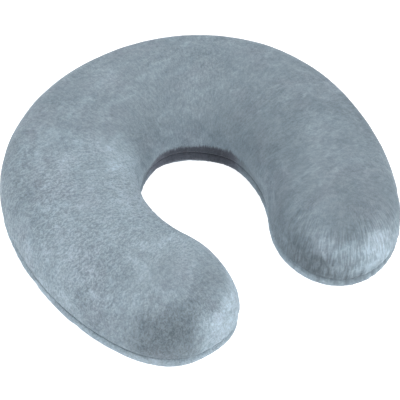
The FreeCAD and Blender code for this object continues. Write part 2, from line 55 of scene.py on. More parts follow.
def clamped_spline(xs, ys):
    """Natural clamped cubic through the knots, zero slope at both ends."""
    xs, ys = np.asarray(xs, float), np.asarray(ys, float)
    n = len(xs)
    h = np.diff(xs)
    A, b = np.zeros((n, n)), np.zeros(n)
    A[0, 0], A[0, 1] = 2 * h[0], h[0]
    b[0] = 6 * (ys[1] - ys[0]) / h[0]
    A[-1, -1], A[-1, -2] = 2 * h[-1], h[-1]
    b[-1] = -6 * (ys[-1] - ys[-2]) / h[-1]
    for i in range(1, n - 1):
        A[i, i - 1], A[i, i], A[i, i + 1] = h[i - 1], 2 * (h[i - 1] + h[i]), h[i]
        b[i] = 6 * ((ys[i + 1] - ys[i]) / h[i] - (ys[i] - ys[i - 1]) / h[i - 1])
    m = np.linalg.solve(A, b)

    def f(x):
        x = np.clip(np.asarray(x, float), xs[0], xs[-1])
        i = np.clip(np.searchsorted(xs, x) - 1, 0, n - 2)
        t0, t1 = xs[i + 1] - x, x - xs[i]
        hi = h[i]
        return (
            m[i] * t0**3 / (6 * hi) + m[i + 1] * t1**3 / (6 * hi)
            + (ys[i] / hi - m[i] * hi / 6) * t0 + (ys[i + 1] / hi - m[i + 1] * hi / 6) * t1
        )

    return f


LEN = sum(r * math.radians(a) for r, a in ARC)
width_at = clamped_spline([0, LEN / 3, 2 * LEN / 3, LEN], W_KNOTS)
height_at = clamped_spline([0, LEN / 2, LEN], H_KNOTS)


def spine(s):
    """Centre line: point, tangent (towards +X side) and outward normal at signed length s from the back's middle."""
    s = np.asarray(s, float)
    a = np.abs(s)
    sg = np.where(s < 0, -1.0, 1.0)
    P, T = np.zeros(s.shape + (2,)), np.zeros(s.shape + (2,))
    c, ang, start = np.array([0.0, YC]), 90.0, 0.0
    for k, (R, A) in enumerate(ARC):
        if k:
            d = math.radians(ang)
            c = c + (Rp - R) * np.array([math.cos(d), math.sin(d)])
        ln = R * math.radians(A)
        on = (a >= start - 1e-9) if k < 2 else (a >= start - 1e-9)
        th = math.radians(ang) - (a - start) / R
        if k == 2:
            end = math.radians(ang - A)
            over = np.maximum(0, a - start - ln)
            th = np.maximum(th, end)
        q = c + R * np.stack([np.cos(th), np.sin(th)], -1)
        t = np.stack([np.sin(th), -np.cos(th)], -1)
        if k == 2:
            q = q + t * over[..., None]
        P[on], T[on] = q[on], t[on]
        start += ln
        ang -= A
        Rp = R
    P[..., 0] *= sg
    T[..., 1] *= sg
    N = np.stack([-T[..., 1], T[..., 0]], -1)
    return P, T, N


def seam_at(s):
    """Height of the seam: it sits a little lower round the two ends."""
    s = np.asarray(s, float)
    return SEAM - np.where(s > 0, 4.4, 3.7) * smooth(np.abs(s), 100, 205)


def arc_map(power, h, w):
    """q (share of the way from centre line to seam) for equal steps along a section's surface."""
    q = np.sin(np.linspace(0, math.pi / 2, 4001))
    z = h * (1 - q**power) ** (1 / power)
    d = np.hypot(np.diff(q * w), np.diff(z))
    s = np.concatenate([[0], np.cumsum(d)])
    return q, s / s[-1], s[-1]


Q_TOP, S_TOP, LEN_TOP = arc_map(N_TOP, 48.0, 54.5)
Q_BOT, S_BOT, LEN_BOT = arc_map(N_BOT, DEPTH, 54.5)


def smooth(x, a, b):
    t = np.clip((x - a) / (b - a), 0, 1)
    return t * t * (3 - 2 * t)


def noise3(P, wave, seed=0):
    """Gradient noise of about -1..1 at points P, with features about one wave across."""
    P = np.asarray(P, float) / wave
    rng = np.random.default_rng(seed)
    grad = rng.normal(size=(512, 3))
    grad /= np.linalg.norm(grad, axis=1, keepdims=True)
    perm = rng.permutation(512)
    i = np.floor(P).astype(np.int64)
    f = P - i
    u = f * f * f * (f * (f * 6 - 15) + 10)
    out = 0
    for dx in (0, 1):
        for dy in (0, 1):
            for dz in (0, 1):
                h = perm[(perm[(perm[(i[..., 0] + dx) & 511] + i[..., 1] + dy) & 511] + i[..., 2] + dz) & 511]
                g = grad[h]
                d = f - np.array([dx, dy, dz])
                w = (
                    (u[..., 0] if dx else 1 - u[..., 0])
                    * (u[..., 1] if dy else 1 - u[..., 1])
                    * (u[..., 2] if dz else 1 - u[..., 2])
                )
                out = out + w * (g * d).sum(-1)
    return out * 1.6


def lay(rows_tube, rows_cap, cols):
    """The sheet's own coordinates: s along the U, X across and Y into the rounded tips, each (rows, cols)."""
    U = np.linspace(-1, 1, cols)
    rows = []
    for k in range(rows_cap, 0, -1):
        rows.append((-1, k / rows_cap))
    for k in range(rows_tube + 1):
        rows.append((0, -LEN + 2 * LEN * k / rows_tube))
    for k in range(1, rows_cap + 1):
        rows.append((1, k / rows_cap))
    n = len(rows)
    s, X, Y, end = (np.zeros((n, cols)) for _ in range(4))
    for i, (e, v) in enumerate(rows):
        if e == 0:
            s[i], X[i], Y[i] = v, U, 0
        else:
            s[i] = e * LEN
            X[i] = U * np.sqrt(1 - v * v / 2)
            Y[i] = v * np.sqrt(1 - U * U / 2)
        end[i] = e
    return {"s": s, "X": X, "Y": Y, "end": end, "rho": np.minimum(1, np.hypot(X, Y))}


def tip_place(g, P):
    """Angle round each tip (degrees, 0 straight out along the arm) and how far into the tip a point is, 0..1."""
    Pt, T, N = spine(np.sign(np.where(g["s"] == 0, 1, g["s"])) * LEN)
    sg = np.where(g["s"] < 0, -1.0, 1.0)
    d = P[..., :2] - Pt
    along = (d * T).sum(-1) * sg
    across = (d * N).sum(-1)
    return np.degrees(np.arctan2(across, along)), smooth(along, -34, 6)


def skin(g, top, side=0.0, rise=0.0, window=0.0):
    """Points of the cover's surface, or of a layer inset by side and rise.  window lifts the back's outer edge that far off the seam over the zip."""
    P, T, N = spine(g["s"])
    w = width_at(np.abs(g["s"])) - side
    h = height_at(np.abs(g["s"])) - rise
    Q, S = (Q_TOP, S_TOP) if top else (Q_BOT, S_BOT)
    total = LEN_TOP if top else LEN_BOT
    rho = g["rho"].copy()
    if window:
        zone = 1 - smooth(np.abs(g["s"]), 105.2 * math.radians(ZIP_HALF) - 3.0, 105.2 * math.radians(ZIP_HALF) + 1.5)
        cut = 1 - zone * window / total
        outer = g["X"] > 0
        rho = np.where(outer & (g["end"] == 0), rho * cut, rho)
    q = np.interp(rho, S, Q)
    k = q / np.maximum(g["rho"], 1e-9)
    x, y = g["X"] * k, g["Y"] * k
    if not top:
        x = x * (1 - 0.026 * smooth(1 - q, 0, 0.06) * (g["X"] < 0) * (1 - smooth(np.abs(g["s"]), 150, 215)))  # tighter round the neck
    cap = (w + side) * CAP - side
    off = N * (w * x)[..., None] + T * (g["end"] * cap * y)[..., None]
    seam = seam_at(g["s"])
    if top:
        z = seam + (h + SEAM - seam) * np.maximum(0, 1 - q**N_TOP) ** (1 / N_TOP)
    else:
        z = seam - (DEPTH - rise - SEAM + seam) * np.maximum(0, 1 - q**N_BOT) ** (1 / N_BOT)
        low = 0.25 + rise
        d = z - low
        z = low + 0.5 * (d + np.sqrt(d * d + 2.2**2)) - 0.35  # it flattens where it lies on the floor
        z = np.maximum(z, low)
        z = np.where(q >= 1 - 1e-9, seam, z)
    flat = P + off
    # the ends aren't quite round: the left one is squarer towards the gap, the right one a little short
    ang, tip = tip_place(g, flat)
    push = np.where(g["s"] < 0, 1.5 * np.exp(-(((ang + 22) / 16) ** 2)) - 2.4 * np.exp(-(((ang - 14) / 17) ** 2)), -2.0 * np.exp(-(((ang - 4) / 50) ** 4)))
    out = flat - spine(np.sign(np.where(g["s"] == 0, 1, g["s"])) * LEN)[0]
    far = np.maximum(np.linalg.norm(out, axis=-1, keepdims=True), 1e-9)
    flat = flat + out / far * (push * tip * np.minimum(far[..., 0] / 50, 1) ** 1.5)[..., None]
    return np.dstack([flat, z[..., None]]), q


def normals(P, flip=False):
    """Unit normals of a (rows, cols, 3) sheet."""
    du = np.gradient(P, axis=1)
    dv = np.gradient(P, axis=0)
    n = np.cross(dv, du)
    n /= np.maximum(np.linalg.norm(n, axis=-1, keepdims=True), 1e-12)
    return -n if flip else n


# ------------------------------------------------------------------- fabric
FINE = dict(rows_tube=320, rows_cap=52, cols=97)
COARSE = dict(rows_tube=132, rows_cap=20, cols=41)


def valley(P, g):
    """Draws the cover in to the zip along the back, where the zip holds it."""
    s = np.abs(g["s"])
    zone = (1 - smooth(s, 80, 112)) * (g["end"] == 0) * (g["X"] > 0)
    _, _, N = spine(g["s"])
    d = np.maximum(0, width_at(s) - 53.85) * zone * np.exp(-(((P[..., 2] - SEAM) / 9.0) ** 2))
    Q = P.copy()
    Q[..., :2] -= N * d[..., None]
    return Q


def upsample(A, coarse, fine):
    """Carries a field from the coarse sheet to the fine one with smooth cubic steps."""
    def places(cr, cc, fr, fc):
        rows = []
        for i in range(2 * fr[1] + fr[0] + 1):
            if i < fr[1]:
                rows.append(i * cr[1] / fr[1])
            elif i <= fr[1] + fr[0]:
                rows.append(cr[1] + (i - fr[1]) * cr[0] / fr[0])
            else:
                rows.append(cr[1] + cr[0] + (i - fr[1] - fr[0]) * cr[1] / fr[1])
        return np.array(rows), np.arange(fc) * (cc - 1) / (fc - 1)

    r, c = places(
        (coarse["rows_tube"], coarse["rows_cap"]), coarse["cols"],
        (fine["rows_tube"], fine["rows_cap"]), fine["cols"],
    )

    def cubic(B, x):
        n = B.shape[0]
        i = np.clip(np.floor(x).astype(int), 0, n - 2)
        t = (x - i)[(...,) + (None,) * (B.ndim - 1)]
        p0, p1 = B[np.clip(i - 1, 0, n - 1)], B[i]
        p2, p3 = B[i + 1], B[np.clip(i + 2, 0, n - 1)]
        return 0.5 * (2 * p1 + (p2 - p0) * t + (2 * p0 - 5 * p1 + 4 * p2 - p3) * t**2 + (3 * p1 - p0 - 3 * p2 + p3) * t**3)

    B = cubic(A, r)
    return cubic(B.swapaxes(0, 1), c).swapaxes(0, 1)


def edge_loop(rows, cols):
    """Indices of a sheet's edge in order."""
    loop = [(i, cols - 1) for i in range(rows)]
    loop += [(rows - 1, j) for j in range(cols - 2, -1, -1)]
    loop += [(i, 0) for i in range(rows - 2, -1, -1)]
    loop += [(0, j) for j in range(1, cols - 1)]
    return loop


def relax_field():
    """Blows the slack cover up a little over its foam with the cloth solver and returns how the upper and lower sheets moved, in millimetres."""
    g = lay(**COARSE)
    top, _ = skin(g, True)
    bot, _ = skin(g, False)
    rows, cols = g["s"].shape
    idx_t = np.arange(rows * cols).reshape(rows, cols)
    on_edge = np.zeros((rows, cols), bool)
    for i, j in edge_loop(rows, cols):
        on_edge[i, j] = True
    idx_b = np.where(on_edge, idx_t, -1)
    free = np.argwhere(~on_edge)
    for n, (i, j) in enumerate(free):
        idx_b[i, j] = rows * cols + n
    co = np.vstack([top.reshape(-1, 3), bot[~on_edge]]) / 1000
    faces = []
    for idx, flip in ((idx_t, False), (idx_b, True)):
        a, b, c, d = idx[:-1, :-1], idx[1:, :-1], idx[1:, 1:], idx[:-1, 1:]
        f = np.stack([a, b, c, d], -1).reshape(-1, 4)
        faces.append(f[:, ::-1] if not flip else f)
    mesh = bpy.data.meshes.new("slack_cover")
    mesh.from_pydata(co.tolist(), [], np.vstack(faces).tolist())
    mesh.update()
    ob = bpy.data.objects.new("slack_cover", mesh)
    bpy.context.scene.collection.objects.link(ob)
    hold = ob.vertex_groups.new(name="hold")
    slack = ob.vertex_groups.new(name="slack")
    q = g["rho"]
    end = smooth(np.abs(g["s"]) + np.abs(g["Y"]) * 60, LEN - 25, LEN + 20)
    near = np.exp(-(((1 - q) * 75 / 16.0) ** 2))
    for idx, is_top in ((idx_t, True), (idx_b, False)):
        P = top if is_top else bot
        for i in range(rows):
            for j in range(cols):
                v = int(idx[i, j])
                w = 1.0 if on_edge[i, j] else 0.0
                if not is_top:
                    w = max(w, float(1 - smooth(P[i, j, 2], 1.0, 9.0)))
                hold.add([v], w, "REPLACE")
                slack.add([v], float(min(1, 0.10 + 0.9 * end[i, j] * near[i, j])), "REPLACE")
    mod = ob.modifiers.new("Cloth", "CLOTH")
    cs = mod.settings
    cs.quality = 6
    cs.mass = 0.25
    cs.tension_stiffness = cs.compression_stiffness = 18
    cs.shear_stiffness = 8
    cs.bending_stiffness = 0.35
    cs.tension_damping = cs.compression_damping = cs.shear_damping = 8
    cs.air_damping = 2
    cs.use_pressure = True
    cs.uniform_pressure_force = 4.0
    cs.vertex_group_mass = "hold"
    cs.pin_stiffness = 8
    cs.vertex_group_shrink = "slack"
    cs.shrink_min = -0.015
    cs.shrink_max = -0.10
    cs.effector_weights.gravity = 0
    mod.collision_settings.use_collision = False
    sc = bpy.context.scene
    sc.frame_start, sc.frame_end = 1, 24
    mod.point_cache.frame_start, mod.point_cache.frame_end = 1, 24
    for f in range(1, 25):
        sc.frame_set(f)
    dg = bpy.context.evaluated_depsgraph_get()
    ev = ob.evaluated_get(dg)
    out = np.zeros(len(ev.data.vertices) * 3)
    ev.data.vertices.foreach_get("co", out)
    move = out.reshape(-1, 3) * 1000 - co * 1000
    sc.frame_set(1)
    bpy.data.objects.remove(ob)
    bpy.data.meshes.remove(mesh)
    size = np.linalg.norm(move, axis=1, keepdims=True)
    print("cloth: moved mm, mean %.2f most %.2f" % (size.mean(), size.max()))
    cap = 5.0
    move *= np.where(size > cap, cap / np.maximum(size, 1e-9), 1.0)
    return move[idx_t], move[idx_b]


def blur(A, n):
    for _ in range(n):
        B = np.pad(A, ((1, 1), (1, 1), (0, 0)), mode="edge")
        A = (B[:-2, 1:-1] + B[2:, 1:-1] + B[1:-1, :-2] + B[1:-1, 2:] + 2 * A) / 6
    return A


CLOTH = relax_field()


CREASES = [(-17, 1.0, 2.6), (-6, 0.8, 2.2), (2, 1.1, 2.2), (8, 0.8, 2.0), (14, 1.2, 2.3), (25, 0.4, 2.2)]


def gathers(g, P, dist, seed):
    """Small puckers that run up from the seam round the tips, where the flat panel is eased in."""
    ang, tip = tip_place(g, P)
    right = g["s"] > 0
    ring = np.radians(ang) * 53
    wob = 2.2 * noise3(np.dstack([ring, g["s"] * 0 + 10 * right, dist * 0.12]), 11, seed)
    phase = (ring + wob) / 6.6
    ridge = np.cos(2 * math.pi * phase)
    ridge = ridge - 0.35 * np.cos(4 * math.pi * phase + 0.7)
    amp = 0.55 + 0.75 * noise3(np.dstack([ring, ring * 0 + 5 * right, ring * 0]), 13, seed + 1)
    amp = np.clip(amp, 0.08, 1.3)
    reach = 9 + 7 * (0.5 + 0.5 * noise3(np.dstack([ring, ring * 0 + 3 * right, ring * 0 + 9]), 9, seed + 2))
    fade = np.exp(-((dist / reach) ** 1.6)) * smooth(dist, -0.5, 2.0)
    side = np.exp(-(((ang - np.where(right, 6, -20)) / 62.0) ** 4))
    d = ridge * amp * fade * side * tip * np.where(right, 0.9, 0.6)
    # five sharper creases stand side by side on the right end
    for at, size, width in CREASES:
        away = ang + 1.2 * noise3(np.dstack([dist, ring * 0 + at, ring * 0]), 8, seed + 4) - at
        d = d - np.where(right, size, 0) * np.exp(-((away / width) ** 2)) * tip * np.exp(-((dist / 9.5) ** 2)) * smooth(dist, -0.5, 2.0)
    return d


def dress(g, top, cloth):
    """The finished outer surface of one panel, in millimetres, and its shares from crown (0) to seam (1)."""
    P, q = skin(g, top, window=3.9)
    P = valley(P, g)
    total = LEN_TOP if top else LEN_BOT
    dist = (1 - g["rho"]) * total
    n = normals(P)
    up = n[..., 2].mean()
    if (up < 0) == top:
        n = -n
    _, _, N = spine(g["s"])
    inward = P[..., :2] - spine(g["s"])[0]
    inward /= np.maximum(np.linalg.norm(inward, axis=-1, keepdims=True), 1e-9)
    # cloth: keep the wrinkles, drop the swelling
    dn = (cloth * n).sum(-1)[..., None]
    smooth_dn = blur(dn, 260)
    fine = np.clip(dn - smooth_dn, -1.6, 1.6)[..., 0]
    free = smooth(dist, 0.5, 6.0)
    if not top:
        free = free * smooth(P[..., 2], 0.5, 5.0)
    in_zip = (1 - smooth(np.abs(g["s"]), 68, 78)) * (g["X"] > 0) * (g["end"] == 0)
    free = free * (1 - in_zip * (1 - smooth(dist, 6, 16)))
    d = fine * free * (0.7 if top else 0.35)
    # broad unevenness of foam under fabric
    d = d + 0.55 * noise3(P, 62, 4) * free + 0.22 * noise3(P, 23, 5) * free
    # gathers round the tips, and much smaller ones round the inside curve
    d = d + gathers(g, P, dist, 11 if top else 17) * (1.0 if top else 0.3)
    inner = (g["X"] < 0) & (g["end"] == 0)
    run = g["s"] * (1 - np.clip(W_KNOTS[0] / 105.0, 0, 0.6))
    small = np.cos(2 * math.pi * (run + 1.5 * noise3(np.dstack([run, dist * 0.1, run * 0]), 9, 21)) / 7.4)
    d = d + np.where(inner, 0.16 * small * np.exp(-((dist / 9.0) ** 2)) * smooth(dist, 0, 2.5), 0)
    # brushed pile: shallow clumps that lie across the U
    stretch = np.dstack([P[..., 0] / 1.0, P[..., 1] / 1.0, P[..., 2] / 1.0])
    d = d + 0.10 * noise3(stretch, 5.2, 31) * free + 0.05 * noise3(stretch, 2.9, 32) * free
    P = P + n * d[..., None]
    # the seam's valley
    groove = 1.55 * np.exp(-((dist / 1.9) ** 2)) + 0.75 * np.exp(-((dist / 5.0) ** 2))
    groove = groove * (1 - 0.75 * in_zip)
    P[..., :2] -= inward * groove[..., None]
    if not top:
        P[..., 2] = np.maximum(P[..., 2], 0.12)
    return P, q, inward, in_zip


def link(name, co, faces, smooth_shade=True):
    mesh = bpy.data.meshes.new(name)
    mesh.from_pydata((np.asarray(co, float) / 1000).tolist(), [], [list(map(int, f)) for f in faces])
    mesh.validate()
    mesh.update()
    ob = bpy.data.objects.new(name, mesh)
    bpy.context.scene.collection.objects.link(ob)
    if smooth_shade:
        mesh.polygons.foreach_set("use_smooth", [True] * len(mesh.polygons))
    return ob


def grid_faces(rows, cols, flip=False):
    i = np.arange(rows * cols).reshape(rows, cols)
    f = np.stack([i[:-1, :-1], i[1:, :-1], i[1:, 1:], i[:-1, 1:]], -1).reshape(-1, 4)
    return f[:, ::-1] if flip else f


THICK = 1.2           # plush with its backing
HEM = ((0.35, -0.30), (0.80, -0.32), (1.10, -0.10), (1.22, 0.20), (1.24, 0.55), (1.22, 0.90), (1.20, 1.25), (1.20, 1.7))
FOOT = ((0.5, 0.08), (1.2, 0.14), (2.0, 0.20), (2.6, 0.25), (2.6, 1.35), (2.0, 1.42), (1.5, 1.55), (1.3, 2.2))


def panel(name, top):
    """One closed panel of cloth: the outside, the edge turned in at the seam (or hemmed along the zip), and the inside."""
    g = lay(**FINE)
    cloth = upsample(CLOTH[0 if top else 1], COARSE, FINE)
    P, q, inward, in_zip = dress(g, top, cloth)
    rows, cols = g["s"].shape
    sgn = 1 if top else -1
    n_in = normals(blur(P, 2))
    if (n_in[..., 2].mean() < 0) == top:
        n_in = -n_in
    inner = P - n_in * THICK
    loop = edge_loop(rows, cols)
    n = len(loop)
    ei = np.array([i * cols + j for i, j in loop])
    E = P.reshape(-1, 3)[ei]
    inn = np.array([inward[i, j] for i, j in loop])
    zz = np.array([in_zip[i, j] for i, j in loop])
    s_edge = np.array([abs(g["s"][i, j]) for i, j in loop])
    win = ((1 - smooth(s_edge, 63.1, 67.6)) * (zz > 0))[:, None]
    rings = []
    for (hb, hz), (fs, fz) in zip(HEM, FOOT):
        plain = np.column_stack([E[:, :2] - inn * fs, seam_at(s_edge) + sgn * fz])
        fold = np.column_stack([E[:, :2] - inn * hb, E[:, 2] + sgn * hz])
        rings.append(plain * (1 - win) + fold * win)
    for (i, j), v in zip(loop, rings.pop()):
        inner[i, j] = v
    start = rows * cols
    base = start + len(rings) * n
    faces = grid_faces(rows, cols, flip=top).tolist()
    faces += (grid_faces(rows, cols, flip=not top) + base).tolist()
    prev = ei
    for k in range(len(rings) + 1):
        cur = np.arange(start + k * n, start + (k + 1) * n) if k < len(rings) else base + ei
        nxt_p, nxt_c = np.roll(prev, -1), np.roll(cur, -1)
        quad = np.stack([prev, nxt_p, nxt_c, cur] if top else [prev, cur, nxt_c, nxt_p], -1)
        faces += quad.tolist()
        prev = cur
    ob = link(name, np.vstack([P.reshape(-1, 3)] + rings + [inner.reshape(-1, 3)]), faces)
    bm = bmesh.new()
    bm.from_mesh(ob.data)
    bmesh.ops.recalc_face_normals(bm, faces=bm.faces)
    bm.to_mesh(ob.data)
    bm.free()
    return ob, g, P, inward


cover_top, G, P_TOP, OUT_TOP = panel("plush_cover_top", True)
cover_bottom, _, P_BOT, OUT_BOT = panel("plush_cover_bottom", False)
for ob in (cover_top, cover_bottom):
    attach(ob, "pillow")
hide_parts("cover_top")
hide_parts("cover_bottom")


# ------------------------------------------------------------ brushed pile, painted light and shade
def band(x, lo, hi, soft):
    return smooth(x, lo - soft, lo + soft) * (1 - smooth(x, hi - soft, hi + soft))


def nap_tone(g, P, top):
    """Painted light and shade over the cover, with some random tone of the pile: a tone that multiplies the colour,
    lighter where light falls and darker on shoulders, in creases and along the seam.
    """
    ang, tip = tip_place(g, P)
    s, rho = g["s"], g["rho"]
    left = s < 0
    fringe = 0.027 * noise3(P * np.array([1.0, 1.0, 0.25]), 2.3, 51) + 0.022 * noise3(P, 9, 52)
    wob = 14 * noise3(P, 34, 53) + 5 * noise3(P, 8, 54) + 2.5 * noise3(P, 3, 55)
    t = np.ones_like(s)
    # painted light on the left arm and painted shade on the right one, with more bands of both along the arms
    t += 0.17 * smooth(-s + wob - 14 * g["X"], 80, 100)
    t += 0.06 * smooth(-s + wob, 60, 110) * smooth(-g["X"], 0.1, 0.5)
    t += 0.055 * band(-s + wob * 0.5, 122, 196, 18)
    t += 0.09 * np.exp(-(((s + 92) / 20) ** 2) - (((g["X"] + 0.22) / 0.30) ** 2))
    t += 0.06 * band(-s + wob, 40, 85, 14) * smooth(g["X"], 0.35, 0.6)
    t -= 0.13 * np.exp(-(((s + 124) / 24) ** 2) - (((g["X"] - 0.38) / 0.32) ** 2))
    t -= 0.10 * smooth(s + wob, 70, 150)
    t += 0.09 * np.exp(-(((s - 197) / 26) ** 2) - (((g["X"] - 0.12) / 0.34) ** 2))
    t -= 0.07 * band(-s + wob * 0.5, 96, 158, 16) * smooth(g["X"], 0.35, 0.6)
    t -= 0.05 * band(s + wob * 0.5, 128, 196, 16) * smooth(g["X"], 0.35, 0.6)
    t += 0.05 * band(-s + wob * 0.5, 60, 108, 12) * band(-g["X"], -0.25, 0.2, 0.12)
    t -= 0.07 * band(s + wob, 40, 200, 20) * smooth(-g["X"], 0.1, 0.6)
    if top:
        # the ends: painted shade on the shoulder, then a painted highlight on the face that looks along the arm, with
        # more patches of both
        r = rho + fringe
        centre = np.where(left, -12, 12)
        face = smooth(r, 0.55, 0.66) * (1 - smooth(np.abs(ang - centre + 260 * fringe), np.where(left, 26, 19), np.where(left, 52, 37)))
        t += tip * face * 0.42
        t += tip * np.where(left, 0, 0.17) * band(r, 0.55, 0.73, 0.05) * (1 - smooth(np.abs(ang - 8), 24, 50))
        t += tip * np.where(left, 0.07, 0) * band(r, 0.54, 0.72, 0.06) * (1 - smooth(np.abs(ang + 8), 20, 46))
        t += tip * np.where(left, 0, 0.24) * smooth(r, 0.56, 0.76) * band(ang + 120 * fringe, 15, 66, 8)
        t -= 0.16 * smooth(-s, 192, 222) * band(r, 0.62, 0.93, 0.08) * (1 - tip * (1 - band(ang, 14, 100, 14))) * (g["X"] > 0.15)
        t -= tip * np.where(left, 0.19, 0.02) * band(r, 0.34, 0.60, 0.13) * (1 - smooth(np.abs(ang - 12), 40, 80))
        t -= tip * np.where(left, 0.32, 0) * smooth(r, 0.42, 0.62) * band(ang + 200 * fringe, 24, 78, 13)
        t -= tip * np.where(left, 0, 0.16) * smooth(r, 0.45, 0.7) * band(ang, -85, 2, 16)
        t -= tip * np.where(left, 0, 0.19) * smooth(r, 0.60, 0.80) * band(ang, -45, 6, 8)
    # painted light in the hollow at the inner left, and painted shade on the inner side beyond it
    if top:
        t += 0.20 * band(s + wob * 0.5, -126, -64, 10) * band(-g["X"], 0.34, 0.70, 0.10)
        t -= 0.06 * smooth(s + wob * 0.3, -60, -40) * (1 - smooth(s + wob * 0.3, 180, 222)) * (g["X"] < 0) * band(rho, 0.45, 0.80, 0.16)
    # painted shade in the puckers' creases and along the seam's line, and painted light on the puckers' ridges and
    # between them
    total = LEN_TOP if top else LEN_BOT
    dist = (1 - g["rho"]) * total
    if top:
        right_end = np.where(left, 0, 1) * tip
        t -= 0.24 * right_end * smooth(rho, 0.66, 0.80) * band(ang, -26, -5, 5)
        t -= 0.14 * right_end * smooth(rho, 0.58, 0.66) * band(ang, -3, 14, 5)
        t -= 0.20 * right_end * smooth(rho, 0.85, 0.94) * band(ang, 12, 34, 7)
        t += 0.18 * right_end * smooth(rho, 0.74, 0.84) * band(ang, 35, 62, 6)
        t += 0.12 * right_end * band(rho, 0.48, 0.60, 0.04) * band(ang, 14, 42, 8)
    for at, size, width in CREASES:
        t -= np.where(left, 0, 0.26 * size) * tip * np.exp(-(((ang - at) / (0.8 * width)) ** 2)) * np.exp(-((dist / 8.5) ** 2)) * (1.0 if top else 0.3)
    t += np.where(left, 0.14, 0.24) * gathers(g, P, dist, 11 if top else 17)
    t -= 0.20 * np.exp(-((dist / 1.7) ** 2)) * smooth(np.abs(s), 130, 190)
    # painted light: the lower panel lighter, most of all towards both ends
    if not top:
        t += 0.16 * smooth(-s, 150, 225) + 0.05 + 0.22 * tip * (s > 0)
    t += 0.05 * noise3(P, 46, 61) + 0.05 * noise3(P * np.array([1, 1.6, 1]), 17, 62)
    return np.maximum(t, 0.56)


def neck_wall(g, P, top):
    """Painted shade on the wall round the neck: how strongly it darkens, and how far below the turning line a point
    lies.
    """
    s, rho = g["s"], g["rho"]
    wob = 4 * noise3(P, 34, 53)
    back = smooth(s + wob, -98, -66) * (1 - smooth(s + wob, 180, 222)) * (g["X"] < 0)
    wall = 0.72 * back * (0.42 + 0.58 * smooth(s, -78, 12)) * (1 - 0.70 * smooth(s, 104, 168))
    line = 0.898 - 0.024 * band(s, 45, 150, 18)
    return wall, ((rho - line) / 0.030 if top else (rho - 0.80 + 0.03 * noise3(P, 26, 57)) / 0.065)


def nap_comb(g, P, top):
    """Where the pile has been combed straight down in long locks: the face of the right end."""
    ang, tip = tip_place(g, P)
    lo = 0.36 if top else 0.80
    return tip * (g["s"] > 0) * smooth(g["rho"], lo, lo + 0.20) * (1 - smooth(np.abs(ang - 8), 48, 86))


def nap_stand(g, P, top):
    """How far the pile stands up, and so how strongly its clumps show."""
    ang, tip = tip_place(g, P)
    s, rho = g["s"], g["rho"]
    v = 0.42 + 0.40 * smooth(-s, 62, 120) - 0.12 * smooth(s, 60, 130)
    v += tip * (s > 0) * (0.36 if top else 0) * band(rho, 0.40, 0.96, 0.12) * (1 - smooth(np.abs(ang - 4), 40, 80))
    v -= tip * (s < 0) * 0.20
    return np.clip(v + 0.25 * noise3(P, 38, 64), 0.15, 1.6)


def vertex_values(ob, name, values):
    att = ob.data.attributes.new(name, "FLOAT", "POINT")
    att.data.foreach_set("value", np.asarray(values, np.float32).ravel())


def strand_uv(ob, g, extra):
    """A map that runs round the seam (u) and from the crown line down to it (v), the way the pile leans, in metres."""
    theta = np.arctan2(g["Y"], np.maximum(np.abs(g["X"]), 1e-9))
    u = np.where(g["end"] == 0, g["s"], g["end"] * (LEN + theta * 50))
    v = np.where(g["end"] == 0, g["X"] * LEN_TOP, g["rho"] * LEN_TOP)
    side = g["X"].ravel()
    cap = g["end"].ravel() != 0
    loop = edge_loop(*g["s"].shape)
    cols = g["s"].shape[1]
    e = np.array([i * cols + j for i, j in loop])
    pick = np.concatenate([np.arange(u.size)] + [e] * extra + [np.arange(u.size)])
    mesh = ob.data
    idx = np.zeros(len(mesh.loops), np.int32)
    mesh.loops.foreach_get("vertex_index", idx)
    start = np.zeros(len(mesh.polygons), np.int32)
    count = np.zeros(len(mesh.polygons), np.int32)
    mesh.polygons.foreach_get("loop_start", start)
    mesh.polygons.foreach_get("loop_total", count)
    face = np.repeat(np.arange(len(start)), count)
    total = np.bincount(face, side[pick][idx])
    on_cap = np.bincount(face, cap[pick][idx].astype(float)) > 0
    sign = np.where(total[face] < 0, -1.0, 1.0)
    vv = v.ravel()[pick][idx]
    vv = np.where(on_cap[face], np.abs(vv) * sign, vv)
    layer = mesh.uv_layers.new(name="strand")
    layer.data.foreach_set("uv", (np.stack([u.ravel()[pick][idx], vv], -1) / 1000).astype(np.float32).ravel())


def fabric_uv(ob, g, extra):
    """A flat map of the cloth in metres: along the U and across it."""
    w = 54.0
    u = g["s"] + g["end"] * g["Y"] * w * CAP
    v = g["X"] * LEN_TOP
    uv = np.stack([u.ravel(), v.ravel()], -1)
    loop = edge_loop(*g["s"].shape)
    e = np.array([uv[i * g["s"].shape[1] + j] for i, j in loop])
    uv = np.vstack([uv] + [e] * extra + [uv]) / 1000
    layer = ob.data.uv_layers.new(name="cloth")
    idx = np.zeros(len(ob.data.loops), np.int32)
    ob.data.loops.foreach_get("vertex_index", idx)
    layer.data.foreach_set("uv", uv[idx].astype(np.float32).ravel())


for ob, P, is_top in ((cover_top, P_TOP, True), (cover_bottom, P_BOT, False)):
    # painted light and shade go onto each panel as vertex attributes
    wall, turn = neck_wall(G, P, is_top)
    values = {"nap": nap_tone(G, P, is_top), "stand": nap_stand(G, P, is_top), "comb": nap_comb(G, P, is_top), "wall": wall, "turn": turn}
    for name, t in values.items():
        e = np.array([t[i, j] for i, j in edge_loop(*G["s"].shape)])
        vertex_values(ob, name, np.concatenate([t.ravel()] + [e] * (len(FOOT) - 1) + [t.ravel()]))
    fabric_uv(ob, G, len(FOOT) - 1)
    strand_uv(ob, G, len(FOOT) - 1)


